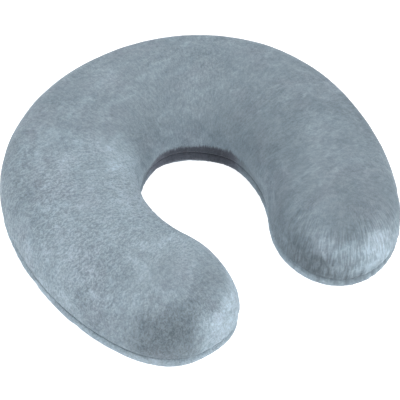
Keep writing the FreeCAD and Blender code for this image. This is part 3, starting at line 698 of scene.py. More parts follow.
# ---------------------------------------------------------------- materials
class Nodes:
    """Short names for building a material's node tree."""

    def __init__(self, name):
        self.m = bpy.data.materials.new(name)
        self.m.use_nodes = True
        self.t = self.m.node_tree
        self.t.nodes.clear()
        self.out = self.t.nodes.new("ShaderNodeOutputMaterial")

    def add(self, kind, **inputs):
        n = self.t.nodes.new("ShaderNode" + kind)
        for k, v in inputs.items():
            if k.startswith("_"):
                setattr(n, k[1:], v)
        for k, v in inputs.items():
            if not k.startswith("_"):
                sock = n.inputs[int(k[1:])] if k[0] == "i" and k[1:].isdigit() else n.inputs[k.replace("_", " ")]
                if isinstance(v, bpy.types.NodeSocket):
                    self.t.links.new(v, sock)
                else:
                    sock.default_value = v
        return n

    def math(self, op, a, b=0.0, c=0.0):
        n = self.add("Math", _operation=op, i0=a, i1=b, i2=c)
        return n.outputs[0]

    def scaled(self, vec, x, y, z):
        return self.add("Mapping", Vector=vec, Scale=(x, y, z)).outputs[0]

    def noise(self, vec, scale, detail=2.0, rough=0.5, distort=0.0):
        return self.add("TexNoise", Vector=vec, Scale=scale, Detail=detail, Roughness=rough, Distortion=distort).outputs["Fac"]

    def ramp(self, fac, lo, hi, out_lo=0.0, out_hi=1.0, kind="SMOOTHSTEP"):
        return self.add("MapRange", _interpolation_type=kind, i0=fac, i1=lo, i2=hi, i3=out_lo, i4=out_hi).outputs[0]

    def mix(self, fac, a, b):
        n = self.add("Mix", _data_type="RGBA")
        for sock, v in ((n.inputs[0], fac), (n.inputs[6], a), (n.inputs[7], b)):
            if isinstance(v, bpy.types.NodeSocket):
                self.t.links.new(v, sock)
            else:
                sock.default_value = v if not isinstance(v, tuple) or len(v) == 4 else (*v, 1)
        return n.outputs[2]

    def scale_colour(self, colour, fac):
        n = self.add("VectorMath", _operation="SCALE")
        for sock, v in ((n.inputs[0], colour), (n.inputs[3], fac)):
            if isinstance(v, bpy.types.NodeSocket):
                self.t.links.new(v, sock)
            else:
                sock.default_value = v
        return n.outputs[0]

    def finish(self, **inputs):
        b = self.add("BsdfPrincipled", **inputs)
        self.t.links.new(b.outputs[0], self.out.inputs[0])
        return self.m


PLUSH = dict(lo=(0.172, 0.228, 0.272), hi=(0.345, 0.418, 0.472))


PILE_GAIN = 0.24


def plush_material(name, tone=1.0):
    N = Nodes(name)
    obj = N.add("TexCoord").outputs["Object"]
    uv = N.add("UVMap", _uv_map="cloth").outputs[0]
    strand = N.add("UVMap", _uv_map="strand").outputs[0]
    # painted shade on the wall round the neck, its edge a fringe of locks that hang over it
    locks = N.noise(N.scaled(strand, 1.0, 0.15, 1.0), 520.0, 2.0, 0.6, 0.2)
    edge = N.math("MULTIPLY_ADD", locks, 3.6, N.math("ADD", N.add("Attribute", _attribute_name="turn").outputs["Fac"], -1.8))
    wall = N.math("MULTIPLY", N.ramp(edge, -1.0, 1.0), N.add("Attribute", _attribute_name="wall").outputs["Fac"])
    nap = N.math("MULTIPLY", N.add("Attribute", _attribute_name="nap").outputs["Fac"], N.math("SUBTRACT", 1.0, wall))
    big = N.noise(obj, 21.0, 3.0, 0.55, 0.6)              # patches about 45 mm across
    mid = N.noise(N.scaled(obj, 1.0, 1.25, 1.0), 78.0, 4.0, 0.62, 1.1)
    streak = N.noise(N.scaled(uv, 1.0, 0.42, 1.0), 430.0, 3.0, 0.6, 0.4)   # clumps of pile, 2 to 3 mm
    speck = N.noise(obj, 760.0, 3.0, 0.65, 0.2)
    fibre = N.noise(N.scaled(uv, 1.0, 0.35, 1.0), 1900.0, 2.0, 0.6)
    f = N.math("MULTIPLY_ADD", N.ramp(big, 0.30, 0.70), 0.16, 0.0)
    f = N.math("MULTIPLY_ADD", N.ramp(mid, 0.25, 0.75), 0.26, f)
    f = N.math("MULTIPLY_ADD", N.ramp(streak, 0.28, 0.72), 0.30, f)
    f = N.math("MULTIPLY_ADD", N.ramp(speck, 0.28, 0.72), 0.20, f)
    f = N.math("MULTIPLY_ADD", N.ramp(fibre, 0.25, 0.75), 0.10, f)
    col = N.mix(f, tuple(c * tone for c in PLUSH["lo"]), tuple(c * tone for c in PLUSH["hi"]))
    # the pile's tips are a little warmer where it stands up
    warm = N.noise(obj, 34.0, 2.0, 0.5, 0.3)
    col = N.mix(N.ramp(warm, 0.45, 0.75, 0.0, 0.22), col, N.scale_colour(N.mix(0.5, (0.29, 0.31, 0.37), (0.26, 0.29, 0.34)), N.math("MULTIPLY_ADD", f, 0.75, 0.65)))
    # short clumps of pile, brighter where they stand, and broad strokes where a hand has brushed it
    stand = N.add("Attribute", _attribute_name="stand").outputs["Fac"]
    lean = N.noise(N.scaled(strand, 1.0, 0.40, 1.0), 780.0, 1.5, 0.5, 1.1)
    clump = N.noise(obj, 640.0, 1.0, 0.5, 0.9)
    pile = N.ramp(N.math("ADD", N.math("MULTIPLY", lean, 0.55), N.math("MULTIPLY", clump, 0.45)), 0.385, 0.615, -1.0, 1.0)
    comb = N.add("Attribute", _attribute_name="comb").outputs["Fac"]
    long = N.ramp(N.noise(N.scaled(strand, 1.0, 0.17, 1.0), 640.0, 2.0, 0.55, 0.5), 0.36, 0.64, -1.0, 1.0)
    pile = N.math("MULTIPLY_ADD", comb, N.math("SUBTRACT", N.math("MULTIPLY", long, 1.15), pile), pile)
    strokes = N.ramp(N.noise(N.scaled(obj, 1.0, 1.5, 1.0), 33.0, 6.0, 0.66, 1.1), 0.50, 0.64, 0.0, 0.15)
    gain = N.math("MULTIPLY_ADD", N.math("MULTIPLY", pile, stand), PILE_GAIN, N.math("ADD", strokes, 0.97))
    # painted shade: on the wall round the neck the colour goes darker and a little violet
    shade_violet = N.ramp(wall, 0.28, 0.60)
    col = N.mix(shade_violet, col, N.scale_colour(N.mix(0.5, (0.275, 0.300, 0.370), (0.250, 0.278, 0.340)), N.math("MULTIPLY_ADD", f, 0.75, 0.65)))
    # the painted light and shade, with the pile's random tone, multiply the colour
    col = N.scale_colour(col, N.math("MULTIPLY", nap, gain))
    height = N.math("MULTIPLY_ADD", N.math("MULTIPLY", pile, stand), 0.34, N.math("MULTIPLY_ADD", streak, 0.40, N.math("MULTIPLY_ADD", speck, 0.30, N.math("MULTIPLY", fibre, 0.18))))
    bump = N.add("Bump", Strength=0.60, Distance=0.0011, Height=height)
    return N.finish(
        Base_Color=col, Roughness=0.93, Specular_IOR_Level=0.12, Normal=bump.outputs[0],
        Sheen_Weight=0.27, Sheen_Roughness=0.22, Sheen_Tint=(0.78, 0.88, 1.0, 1),
    )


PLUSH_MAT = plush_material("plush_fabric")
for ob in (cover_top, cover_bottom):
    ob.data.materials.append(PLUSH_MAT)

# ------------------------------------------------- foam, liner, zip and label
def band_point(R, deg, z):
    a = np.radians(deg)
    return np.stack([R * np.cos(a), YC + R * np.sin(a), z + 0 * a], -1)


def join_faces(template, count, step):
    f = np.asarray(template)
    return (f[None] + (np.arange(count) * step)[:, None, None]).reshape(-1, f.shape[1])


def stitches(name, A, B, r, out=None, arch=0.0, sides=7):
    """Short spindles of thread from each A to its B, bowed outwards a little."""
    A, B = np.asarray(A, float), np.asarray(B, float)
    n = len(A)
    ts = np.array([0.0, 0.10, 0.28, 0.5, 0.72, 0.90, 1.0])
    rs = np.array([0.25, 0.72, 1.0, 1.04, 1.0, 0.72, 0.25]) * r
    d = B - A
    d /= np.linalg.norm(d, axis=1, keepdims=True)
    ref = np.where(np.abs(d[:, 2:3]) > 0.9, np.array([[1.0, 0, 0]]), np.array([[0, 0, 1.0]]))
    u = np.cross(d, ref)
    u /= np.linalg.norm(u, axis=1, keepdims=True)
    v = np.cross(d, u)
    out = np.zeros_like(A) if out is None else out
    ang = np.linspace(0, 2 * math.pi, sides, endpoint=False)
    C = A[:, None] + (B - A)[:, None] * ts[None, :, None] + out[:, None] * (arch * np.sin(math.pi * ts))[None, :, None]
    ring = (u[:, None, :] * np.cos(ang)[None, :, None] + v[:, None, :] * np.sin(ang)[None, :, None])
    pts = C[:, :, None, :] + ring[:, None] * rs[None, :, None, None]
    co = pts.reshape(-1, 3)
    m = len(ts)
    quads = [[k * sides + i, k * sides + (i + 1) % sides, (k + 1) * sides + (i + 1) % sides, (k + 1) * sides + i] for k in range(m - 1) for i in range(sides)]
    faces = join_faces(quads, n, m * sides).tolist()
    a = np.array([list(range(sides))[::-1]])
    b = np.array([[(m - 1) * sides + i for i in range(sides)]])
    faces += join_faces(a, n, m * sides).tolist() + join_faces(b, n, m * sides).tolist()
    return link(name, co, faces)


def dashes(path, pitch, length):
    """Where each stitch of a run along a path starts and ends."""
    seg = np.linalg.norm(np.diff(path, axis=0), axis=1)
    t = np.concatenate([[0], np.cumsum(seg)])
    count = int((t[-1] - length) // pitch) + 1
    first = (t[-1] - (count - 1) * pitch - length) / 2
    a = first + np.arange(count) * pitch
    at = lambda x: np.stack([np.interp(x, t, path[:, k]) for k in range(3)], -1)
    return at(a), at(a + length)


def tube(name, pts, r, sides=6):
    """A round thread along points, closed at both ends."""
    pts = np.asarray(pts, float)
    d = np.gradient(pts, axis=0)
    d /= np.linalg.norm(d, axis=1, keepdims=True)
    u = np.zeros_like(pts)
    ref = np.array([0, 0, 1.0]) if abs(d[0, 2]) < 0.9 else np.array([1.0, 0, 0])
    for i in range(len(pts)):
        ref = ref - d[i] * (ref @ d[i])
        ref /= np.linalg.norm(ref)
        u[i] = ref
    v = np.cross(d, u)
    ang = np.linspace(0, 2 * math.pi, sides, endpoint=False)
    co = (pts[:, None] + r * (u[:, None] * np.cos(ang)[None, :, None] + v[:, None] * np.sin(ang)[None, :, None])).reshape(-1, 3)
    n = len(pts)
    quads = [[i, (i + 1) % sides, sides + (i + 1) % sides, sides + i] for i in range(sides)]
    faces = join_faces(quads, n - 1, sides).tolist()
    faces += [list(range(sides))[::-1], [(n - 1) * sides + i for i in range(sides)]]
    return link(name, co, faces)


def sweep_band(name, section, a0, a1, steps):
    """A strip with a closed (radius, height) section along the back, with a UV map in metres."""
    section = np.asarray(section, float)
    angs = np.linspace(a0, a1, steps + 1)
    co = np.vstack([band_point(section[:, 0], np.full(len(section), a), section[:, 1]) for a in angs])
    m = len(section)
    quads = [[i, m + i, m + (i + 1) % m, (i + 1) % m] for i in range(m)]
    faces = join_faces(quads, steps, m).tolist()
    faces += [list(range(m)), [steps * m + i for i in range(m)][::-1]]
    ob = link(name, co, faces, False)
    around = np.concatenate([[0], np.cumsum(np.linalg.norm(np.diff(section, axis=0), axis=1))])
    uv = np.stack([np.repeat(np.radians(angs) * 157, m), np.tile(around, steps + 1)], -1) / 1000
    layer = ob.data.uv_layers.new(name="cloth")
    idx = np.zeros(len(ob.data.loops), np.int32)
    ob.data.loops.foreach_get("vertex_index", idx)
    layer.data.foreach_set("uv", uv[idx].astype(np.float32).ravel())
    tidy(ob)
    return ob


def tidy(ob):
    bm = bmesh.new()
    bm.from_mesh(ob.data)
    bmesh.ops.recalc_face_normals(bm, faces=bm.faces)
    bm.to_mesh(ob.data)
    bm.free()


def place(ob, body, node, slot, material):
    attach(ob, body)
    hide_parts(node)
    ob.data.materials.clear()
    ob.data.materials.append(material)


MEDIUM = dict(rows_tube=200, rows_cap=32, cols=61)


def liner(name, top, side, rise, thick):
    g = lay(**MEDIUM)
    A, B = valley(skin(g, top, side, rise)[0], g), valley(skin(g, top, side + thick, rise + thick)[0], g)
    for P, k in ((A, 0.35), (B, 0.35)):
        P[..., 2] += k * noise3(P, 30, 71) * (1 - g["rho"] ** 4)
    rows, cols = g["s"].shape
    loop = edge_loop(rows, cols)
    e = np.array([i * cols + j for i, j in loop])
    n = rows * cols
    faces = grid_faces(rows, cols, flip=top).tolist() + (grid_faces(rows, cols, flip=not top) + n).tolist()
    faces += np.stack([e, np.roll(e, -1), np.roll(e, -1) + n, e + n], -1).tolist()
    ob = link(name, np.vstack([A.reshape(-1, 3), B.reshape(-1, 3)]), faces)
    tidy(ob)
    return ob, np.array([A[i, j] for i, j in loop])


def foam(name, side, rise):
    g = lay(**MEDIUM)
    A, B = valley(skin(g, True, side, rise)[0], g), valley(skin(g, False, side, rise)[0], g)
    rows, cols = g["s"].shape
    ids = np.arange(rows * cols).reshape(rows, cols)
    edge = np.zeros((rows, cols), bool)
    for i, j in edge_loop(rows, cols):
        edge[i, j] = True
    low = ids.copy()
    low[~edge] = rows * cols + np.arange((~edge).sum())
    faces = []
    for idx, flip in ((ids, True), (low, False)):
        f = np.stack([idx[:-1, :-1], idx[1:, :-1], idx[1:, 1:], idx[:-1, 1:]], -1).reshape(-1, 4)
        faces += (f[:, ::-1] if flip else f).tolist()
    ob = link(name, np.vstack([A.reshape(-1, 3), B[~edge]]), faces)
    tidy(ob)
    return ob


def on_cover(P, z, s_max):
    """The line on the back of the cover at height z, between s of -s_max and s_max."""
    half = G["X"].shape[1] // 2
    rows = np.where((G["end"][:, 0] == 0) & (np.abs(G["s"][:, 0]) <= s_max))[0]
    line = []
    for i in rows:
        C = P[i, half:]
        order = np.argsort(C[:, 2])
        line.append([np.interp(z, C[order, 2], C[order, k]) for k in range(2)] + [z])
    line = np.array(line)
    for _ in range(3):
        line[1:-1] = (line[:-2] + 2 * line[1:-1] + line[2:]) / 4
    return line


def outward(points):
    d = np.asarray(points, float) - np.array([0, YC, 0])
    d[:, 2] = 0
    return d / np.linalg.norm(d, axis=1, keepdims=True)


# -- materials
def thread_material(name, colour):
    N = Nodes(name)
    obj = N.add("TexCoord").outputs["Object"]
    ply = N.noise(obj, 2600.0, 2.0, 0.6, 0.4)
    tone = N.noise(obj, 160.0, 2.0)
    col = N.scale_colour(N.mix(N.ramp(ply, 0.3, 0.7), tuple(c * 0.7 for c in colour), tuple(c * 1.25 for c in colour)), N.ramp(tone, 0.3, 0.7, 0.85, 1.12))
    bump = N.add("Bump", Strength=0.6, Distance=0.0001, Height=ply)
    return N.finish(Base_Color=col, Roughness=N.ramp(ply, 0.2, 0.8, 0.45, 0.65), Normal=bump.outputs[0], Sheen_Weight=0.15)


def foam_material():
    N = Nodes("memory_foam")
    obj = N.add("TexCoord").outputs["Object"]
    pores = N.add("TexVoronoi", Vector=obj, Scale=1500.0, Randomness=1.0).outputs["Distance"]
    cells = N.noise(obj, 600.0, 4.0, 0.6)
    tone = N.noise(obj, 18.0, 3.0)
    col = N.mix(N.ramp(tone, 0.3, 0.7), (0.80, 0.72, 0.52), (0.88, 0.82, 0.66))
    # painted shade in the pores: darker towards each pore's middle
    col = N.scale_colour(col, N.ramp(pores, 0.05, 0.45, 0.72, 1.0))
    bump = N.add("Bump", Strength=0.7, Distance=0.0004, Height=N.math("MULTIPLY_ADD", pores, 0.6, cells))
    return N.finish(Base_Color=col, Roughness=0.95, Normal=bump.outputs[0], Subsurface_Weight=0.05, Subsurface_Radius=(0.004, 0.003, 0.002))


def knit_material():
    N = Nodes("liner_jersey")
    obj = N.add("TexCoord").outputs["Object"]
    loops = N.add("TexVoronoi", Vector=N.scaled(obj, 1.0, 1.0, 1.4), Scale=900.0, Randomness=0.35).outputs["Distance"]
    fuzz = N.noise(obj, 2400.0, 3.0, 0.6)
    tone = N.noise(obj, 30.0, 3.0)
    col = N.mix(N.ramp(tone, 0.3, 0.7), (0.74, 0.74, 0.73), (0.84, 0.84, 0.83))
    # painted shade between the knitted loops
    col = N.scale_colour(col, N.ramp(loops, 0.05, 0.55, 1.0, 0.78))
    bump = N.add("Bump", Strength=0.5, Distance=0.0003, Height=N.math("MULTIPLY_ADD", fuzz, 0.25, N.math("SUBTRACT", 1.0, loops)))
    return N.finish(Base_Color=col, Roughness=0.88, Normal=bump.outputs[0], Sheen_Weight=0.12)


def woven_material(name, dark, light, warp, weft, rough=0.75, height=0.00012, sheen=0.1):
    """Cloth woven on its UV map: warp and weft are the threads' widths in metres."""
    N = Nodes(name)
    uv = N.add("UVMap", _uv_map="cloth").outputs[0]
    obj = N.add("TexCoord").outputs["Object"]
    sep = N.add("SeparateXYZ", Vector=uv)
    u = N.math("MULTIPLY", sep.outputs[0], math.pi / warp)
    v = N.math("MULTIPLY", sep.outputs[1], math.pi / weft)
    over = N.math("MULTIPLY", N.math("SINE", u), N.math("SINE", v))
    rib = N.math("ABSOLUTE", over)
    noise = N.noise(obj, 1400.0, 2.0)
    # painted shade along the lines between the threads and painted light on their crowns, with random tone
    f = N.math("MULTIPLY_ADD", noise, 0.35, N.math("MULTIPLY", rib, 0.65))
    tone = N.noise(obj, 60.0, 2.0)
    col = N.scale_colour(N.mix(f, dark, light), N.ramp(tone, 0.3, 0.7, 0.9, 1.1))
    bump = N.add("Bump", Strength=0.8, Distance=height, Height=N.math("MULTIPLY_ADD", over, 0.5, 0.5))
    return N.finish(Base_Color=col, Roughness=N.ramp(f, 0.0, 1.0, rough + 0.1, rough - 0.1), Normal=bump.outputs[0], Sheen_Weight=sheen)


def nylon_material():
    N = Nodes("zip_nylon")
    obj = N.add("TexCoord").outputs["Object"]
    fine = N.noise(obj, 900.0, 2.0)
    tone = N.noise(obj, 40.0, 2.0)
    col = N.scale_colour(N.mix(N.ramp(fine, 0.3, 0.7), (0.115, 0.148, 0.176), (0.165, 0.205, 0.238)), N.ramp(tone, 0.3, 0.7, 0.9, 1.1))
    bump = N.add("Bump", Strength=0.2, Distance=0.00005, Height=fine)
    return N.finish(Base_Color=col, Roughness=N.ramp(fine, 0.2, 0.8, 0.32, 0.48), Normal=bump.outputs[0])


def metal_material(name, tint=(0.66, 0.65, 0.63)):
    N = Nodes(name)
    obj = N.add("TexCoord").outputs["Object"]
    cast = N.noise(obj, 350.0, 4.0, 0.6)
    lines = N.noise(N.scaled(obj, 1.0, 1.0, 9.0), 900.0, 3.0, 0.7)
    smear = N.noise(obj, 90.0, 3.0)
    col = N.mix(N.ramp(smear, 0.35, 0.75), tint, tuple(c * 0.80 for c in tint))
    rough = N.math("ADD", N.ramp(lines, 0.3, 0.75, 0.20, 0.40), N.ramp(smear, 0.4, 0.8, 0.0, 0.12))
    bump = N.add("Bump", Strength=0.25, Distance=0.00006, Height=N.math("MULTIPLY_ADD", lines, 0.5, cast))
    return N.finish(Base_Color=col, Metallic=1.0, Roughness=rough, Normal=bump.outputs[0])


def lacquer_material(name, tint):
    """Metal sprayed in the cloth's colour: an even satin coat."""
    N = Nodes(name)
    obj = N.add("TexCoord").outputs["Object"]
    peel = N.noise(obj, 1400.0, 2.0, 0.5)
    smear = N.noise(obj, 90.0, 3.0)
    col = N.mix(N.ramp(smear, 0.35, 0.75), tint, tuple(v * 0.86 for v in tint))
    bump = N.add("Bump", Strength=0.2, Distance=0.00004, Height=peel)
    return N.finish(
        Base_Color=col, Metallic=0.25, Roughness=N.ramp(smear, 0.3, 0.8, 0.30, 0.42),
        Coat_Weight=0.35, Coat_Roughness=0.18, Normal=bump.outputs[0],
    )


THREAD = thread_material("slate_thread", (0.15, 0.19, 0.225))
THREAD_WHITE = thread_material("white_thread", (0.70, 0.70, 0.69))
FOAM = foam_material()
KNIT = knit_material()
TAPE = woven_material("zip_tape_weave", (0.075, 0.098, 0.118), (0.150, 0.188, 0.218), 0.0007, 0.0006)
NYLON = nylon_material()
LACQUER = lacquer_material("slate_lacquer", (0.27, 0.33, 0.38))
STOPS = metal_material("pressed_steel", (0.58, 0.58, 0.58))
SATIN = woven_material("label_satin_weave", (0.55, 0.555, 0.55), (0.70, 0.70, 0.69), 0.00045, 0.0011, 0.38, 0.00006, 0.25)

# -- foam core and its liner
ob = foam("foam_block", 6.4, 5.6)
place(ob, "pillow", "foam_core", "foam", FOAM)
up, LINER_EDGE = liner("liner_top_panel", True, 5.4, 4.6, 0.5)
place(up, "pillow", "liner_upper", "liner_knit", KNIT)
down, _ = liner("liner_base_panel", False, 5.4, 4.6, 0.5)
place(down, "pillow", "liner_lower", "liner_knit", KNIT)
ring = np.vstack([LINER_EDGE, LINER_EDGE[:1]])
A, B = dashes(ring, 3.0, 2.5)
place(stitches("liner_seam_stitches", A, B, 0.35), "pillow", "liner_seam_thread", "liner_thread", THREAD_WHITE)

# -- the cover's own seam: thread that joins the two panels, left out along the zip
loop = edge_loop(*G["s"].shape)
E = np.array([P_TOP[i, j] for i, j in loop])
out2 = np.array([OUT_TOP[i, j] for i, j in loop])
s_loop = np.array([G["s"][i, j] for i, j in loop])
x_loop = np.array([G["X"][i, j] for i, j in loop])
E[:, :2] -= out2 * 1.5
E[:, 2] = seam_at(s_loop)
keep = ~((np.abs(s_loop) < 68) & (x_loop > 0.9))
first = np.where(keep & ~np.roll(keep, 1))[0][0]
order = np.roll(np.arange(len(E)), -first)
run = E[order][keep[order]]
A, B = dashes(run, 2.8, 2.4)
place(stitches("cover_seam_stitches", A, B, 0.4), "pillow", "cover_seam_thread", "cover_thread", THREAD)

# -- zip: tapes, coil, stitching, stops, tacks
R = ZIP_R
up_section = [(R - 2.10, SEAM + 0.7), (R - 2.02, SEAM + 1.3), (R - 2.10, SEAM + 2.4), (R - 2.10, SEAM + 9.6), (R - 2.02, SEAM + 10.1), (R - 2.10, SEAM + 10.5),
              (R - 2.60, SEAM + 10.5), (R - 2.66, SEAM + 10.1), (R - 2.60, SEAM + 9.6), (R - 2.60, SEAM + 2.4), (R - 2.66, SEAM + 1.3), (R - 2.60, SEAM + 0.7)]
place(sweep_band("zip_tape_top", up_section, 51.5, 128.5, 120), "pillow", "zip_tape_upper", "zip_tape", TAPE)
low_angles = np.radians(np.linspace(1.6, 24, 14))
low_section = [(R - 27.5 + 25.40 * math.cos(t), SEAM - 25.40 * math.sin(t)) for t in low_angles]
low_section += [(R - 27.5 + 24.90 * math.cos(t), SEAM - 24.90 * math.sin(t)) for t in low_angles[::-1]]
place(sweep_band("zip_tape_base", low_section, 51.5, 128.5, 120), "pillow", "zip_tape_lower", "zip_tape", TAPE)

PITCH = 1.30          # one loop of the coil
COIL = np.array([(-1.90, 2.00), (-0.95, 2.08), (-0.48, 1.60), (-0.46, 0.60), (-0.62, -0.16), (-1.20, -0.24), (-1.78, -0.10), (-1.94, 0.70)])


def coil(name, sgn, phase):
    """One side's spiral of nylon; its heads reach just past the middle between the other side's."""
    n = int(math.radians(124.4 - 57.9) * 157.8 / PITCH) - 1
    pts = []
    for k in range(n):
        for m, (depth, across) in enumerate(COIL):
            pts.append((depth, across, (k + phase + m / len(COIL)) * PITCH))
    pts = np.array(pts)
    fine = np.linspace(0, len(pts) - 1, (len(pts) - 1) * 2 + 1)
    cat = []
    for c in range(3):
        p = pts[:, c]
        i = np.clip(np.floor(fine).astype(int), 0, len(p) - 2)
        t = fine - i
        p0, p1, p2, p3 = p[np.clip(i - 1, 0, None)], p[i], p[i + 1], p[np.clip(i + 2, None, len(p) - 1)]
        cat.append(0.5 * (2 * p1 + (p2 - p0) * t + (2 * p0 - 5 * p1 + 4 * p2 - p3) * t**2 + (3 * p1 - p0 - 3 * p2 + p3) * t**3))
    deg = 57.9 + np.degrees(cat[2] / 157.8)
    # by the bottom stop the rows stand apart, where the open slider's post comes to rest between them
    apart = band(deg, 120.25, 122.05, 0.35)
    cat[1] = cat[1] + apart * (0.84 + (cat[1] + 0.24) / 2.32 * 1.22 - cat[1])
    return tube(name, band_point(R + cat[0], deg, SEAM + sgn * cat[1]), 0.27)


place(coil("zip_coil_top", 1, 0.25), "pillow", "zip_coil_upper", "zip_coil", NYLON)
place(coil("zip_coil_base", -1, 0.75), "pillow", "zip_coil_lower", "zip_coil", NYLON)

for P, z, name, node in ((P_TOP, SEAM + 6.2, "zip_stitches_top", "zip_stitching_upper"), (P_BOT, SEAM - 6.3, "zip_stitches_base", "zip_stitching_lower")):
    line = on_cover(P, z, 105.2 * math.radians(37.9))
    line -= outward(line) * 0.06
    A, B = dashes(line, 3.2, 2.6)
    place(stitches(name, A, B, 0.3, outward((A + B) / 2), 0.10), "pillow", node, "cover_thread", THREAD)

A, B = [], []
for deg in (53.5, 126.5):
    for k in range(30):
        z = SEAM - 4.3 + 8.6 * k / 29
        lean = 0.12 if k % 2 else -0.12
        A.append(band_point(R - 0.02 + 0.05 * (k % 3), deg - math.degrees(0.72 / R), z - lean))
        B.append(band_point(R - 0.02 + 0.05 * (k % 3), deg + math.degrees(0.72 / R), z + lean))
A, B = np.array(A), np.array(B)
place(stitches("zip_bar_tack_threads", A, B, 0.21, outward(A), 0.12), "pillow", "zip_bar_tacks", "cover_thread", THREAD)


def refined(node, name, width, body, slot, material):
    """The CAD solid with its sharp edges eased, as pressed and cast metal has them."""
    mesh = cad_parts[node].data.copy()
    mesh.name = name
    mesh.materials.clear()
    ob = bpy.data.objects.new(name, mesh)
    bpy.context.scene.collection.objects.link(ob)
    bm = bmesh.new()
    bm.from_mesh(mesh)
    bmesh.ops.remove_doubles(bm, verts=bm.verts, dist=2e-6)
    bmesh.ops.dissolve_limit(bm, angle_limit=math.radians(1.0), verts=bm.verts, edges=bm.edges)
    edges = [e for e in bm.edges if len(e.link_faces) == 2 and e.calc_face_angle(0) > math.radians(28)]
    bmesh.ops.bevel(bm, geom=edges, offset=width / 1000, segments=3, profile=0.6, affect="EDGES", clamp_overlap=True, loop_slide=True)
    bmesh.ops.recalc_face_normals(bm, faces=bm.faces)
    bm.to_mesh(mesh)
    bm.free()
    mesh.polygons.foreach_set("use_smooth", [True] * len(mesh.polygons))
    mesh.set_sharp_from_angle(angle=math.radians(35))
    place(ob, body, node, slot, material)
    return ob


refined("zip_slider_body", "zip_slider_casting", 0.16, "zip_slider", "slider_metal", LACQUER)
refined("zip_pull_tab", "zip_pull_plate", 0.22, "zip_pull", "slider_metal", LACQUER)
refined("zip_top_stops", "zip_top_stop_crimps", 0.25, "pillow", "stop_metal", STOPS)
refined("zip_bottom_stop", "zip_bottom_stop_crimp", 0.25, "pillow", "stop_metal", STOPS)


# -- blank care label, sewn into the seam on the left and lying down the lower panel
def care_label():
    total = LEN_BOT
    s0, s1, drop, thick = -89.2, -75.7, 27.5, 0.32
    n, m = 26, 34
    half = G["X"].shape[1] // 2
    rows = np.where(G["end"][:, 0] == 0)[0]
    s_rows = G["s"][rows, 0]
    dist = (1 - G["X"][rows[0], half:]) * total
    norm = normals(blur(P_BOT, 6))
    if norm[..., 2].mean() > 0:
        norm = -norm
    S, D = np.meshgrid(np.linspace(s0, s1, n), np.linspace(-0.2, drop, m), indexing="ij")

    def sample(F):
        i = np.interp(S, s_rows, np.arange(len(rows)))
        j = np.interp(np.maximum(D, 0), dist[::-1], np.arange(len(dist))[::-1])
        i0, j0 = np.clip(np.floor(i).astype(int), 0, len(rows) - 2), np.clip(np.floor(j).astype(int), 0, len(dist) - 2)
        ti, tj = (i - i0)[..., None], (j - j0)[..., None]
        F = F[rows][:, half:]
        return (F[i0, j0] * (1 - ti) + F[i0 + 1, j0] * ti) * (1 - tj) + (F[i0, j0 + 1] * (1 - ti) + F[i0 + 1, j0 + 1] * ti) * tj

    P, Nn = sample(P_BOT), sample(norm)
    Nn /= np.linalg.norm(Nn, axis=-1, keepdims=True)
    t = np.clip(D / drop, 0, 1)
    across = (S - s0) / (s1 - s0)
    lift = 0.30 + 0.75 * smooth(t, 0.0, 0.35) + 0.9 * t**3 + 0.35 * np.sin(across * 5.1 + 2.6 * t) * t
    lift = np.where(t < 0.04, 0.1, lift)
    outer = P + Nn * (lift + thick)[..., None]
    inner = P + Nn * lift[..., None]
    outer[..., 2] = np.maximum(outer[..., 2], 0.5)
    inner[..., 2] = np.maximum(inner[..., 2], 0.2)
    ids = np.arange(n * m).reshape(n, m)
    e = np.array([ids[i, j] for i, j in edge_loop(n, m)])
    faces = grid_faces(n, m).tolist() + (grid_faces(n, m, True) + n * m).tolist()
    faces += np.stack([e, np.roll(e, -1), np.roll(e, -1) + n * m, e + n * m], -1).tolist()
    ob = link("care_label_blank", np.vstack([outer.reshape(-1, 3), inner.reshape(-1, 3)]), faces)
    width = np.linalg.norm(np.diff(outer, axis=0), axis=-1).sum(0)[m // 2]
    length = np.linalg.norm(np.diff(outer, axis=1), axis=-1).sum(1).mean()
    uv = np.stack([(S - s0) * width / (s1 - s0), D], -1).reshape(-1, 2) / 1000
    uv = np.vstack([uv, uv])
    layer = ob.data.uv_layers.new(name="cloth")
    idx = np.zeros(len(ob.data.loops), np.int32)
    ob.data.loops.foreach_get("vertex_index", idx)
    layer.data.foreach_set("uv", uv[idx].astype(np.float32).ravel())
    tidy(ob)
    return ob, width, length


label, w_label, l_label = care_label()
print("label %.1f x %.1f mm" % (w_label, l_label))
place(label, "pillow", "care_label", "label_satin", SATIN)


# ------------------------------------------------------------- stage, camera
K = 1.07
AZ, EL, ROLL, DIST, FOC, CX, CY = -34.704, 49.597, 3.518, 1516.457, 2015.499, 201.798, 201.367
a, e, r = (math.radians(v) for v in (AZ, EL, ROLL))
right = Vector((math.cos(a), math.sin(a), 0))
back = Vector((math.sin(a) * math.cos(e), -math.cos(a) * math.cos(e), math.sin(e)))
up = back.cross(right)
right, up = right * math.cos(r) + up * math.sin(r), up * math.cos(r) - right * math.sin(r)
target = Vector((0, YC - K * 1.618, SEAM)) / 1000
cam_data = bpy.data.cameras.new("camera")
cam = bpy.data.objects.new("camera", cam_data)
bpy.context.scene.collection.objects.link(cam)
place = target + back * (DIST * K / 1000)
cam.matrix_world = Matrix((
    (right.x, up.x, back.x, place.x),
    (right.y, up.y, back.y, place.y),
    (right.z, up.z, back.z, place.z),
    (0, 0, 0, 1),
))
cam_data.sensor_width = 36
cam_data.lens = FOC / 400 * 36
cam_data.shift_x = (200 - CX) / 400
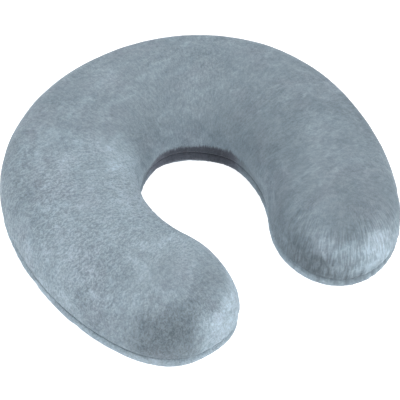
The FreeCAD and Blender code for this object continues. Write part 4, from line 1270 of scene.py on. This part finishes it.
cam_data.shift_y = (CY - 200) / 400
cam_data.clip_start, cam_data.clip_end = 0.05, 30
bpy.context.scene.camera = cam

floor = link("floor", [(-5000, -5000, 0), (5000, -5000, 0), (5000, 5000, 0), (-5000, 5000, 0)], [(0, 1, 2, 3)], False)
N = Nodes("floor_white")
floor.data.materials.append(N.finish(
    Base_Color=(0.55, 0.55, 0.55, 1), Roughness=0.95, Specular_IOR_Level=0.1,
    Emission_Color=(1, 1, 1, 1), Emission_Strength=0.92,
))

world = bpy.data.worlds.new("world")
world.use_nodes = True
world.node_tree.nodes["Background"].inputs[0].default_value = (1, 1, 1, 1)
world.node_tree.nodes["Background"].inputs[1].default_value = 0.01
bpy.context.scene.world = world


def softbox(name, az, el, watts, size, dist):
    """A square lamp at an azimuth (0 in front of the opening, 90 to the right) and elevation, turned to the pillow."""
    light = bpy.data.lights.new(name, "AREA")
    light.energy, light.size = watts, size
    ob = bpy.data.objects.new(name, light)
    a, e = math.radians(az), math.radians(el)
    ob.location = Vector((math.sin(a) * math.cos(e), -math.cos(a) * math.cos(e), math.sin(e))) * dist
    ob.rotation_euler = (-ob.location).to_track_quat("-Z", "Y").to_euler()
    bpy.context.scene.collection.objects.link(ob)


softbox("back_right", 135, 14, 27.0, 1.2, 2.2)
softbox("front_high", 0, 42, 10.8, 1.2, 2.2)
softbox("front_right_high", 45, 42, 9.8, 1.2, 2.2)
softbox("front_right_low", 45, 14, 5.7, 1.2, 2.2)
softbox("front_spot", 26, 18, 1.5, 0.45, 1.6)
softbox("overhead", 0, 70, 8.9, 1.2, 2.2)
softbox("left_high", 270, 42, 3.2, 1.2, 2.2)
softbox("left_near", 240, 25, 6.3, 0.8, 1.6)
softbox("left_top", 240, 65, 6.0, 0.8, 1.6)
softbox("front_left_high", 315, 42, 3.7, 1.2, 2.2)
softbox("back_left_high", 225, 42, 3.3, 1.2, 2.2)
softbox("back_left_low", 225, 14, 2.4, 1.2, 2.2)
bpy.context.scene.view_settings.view_transform = "Standard"
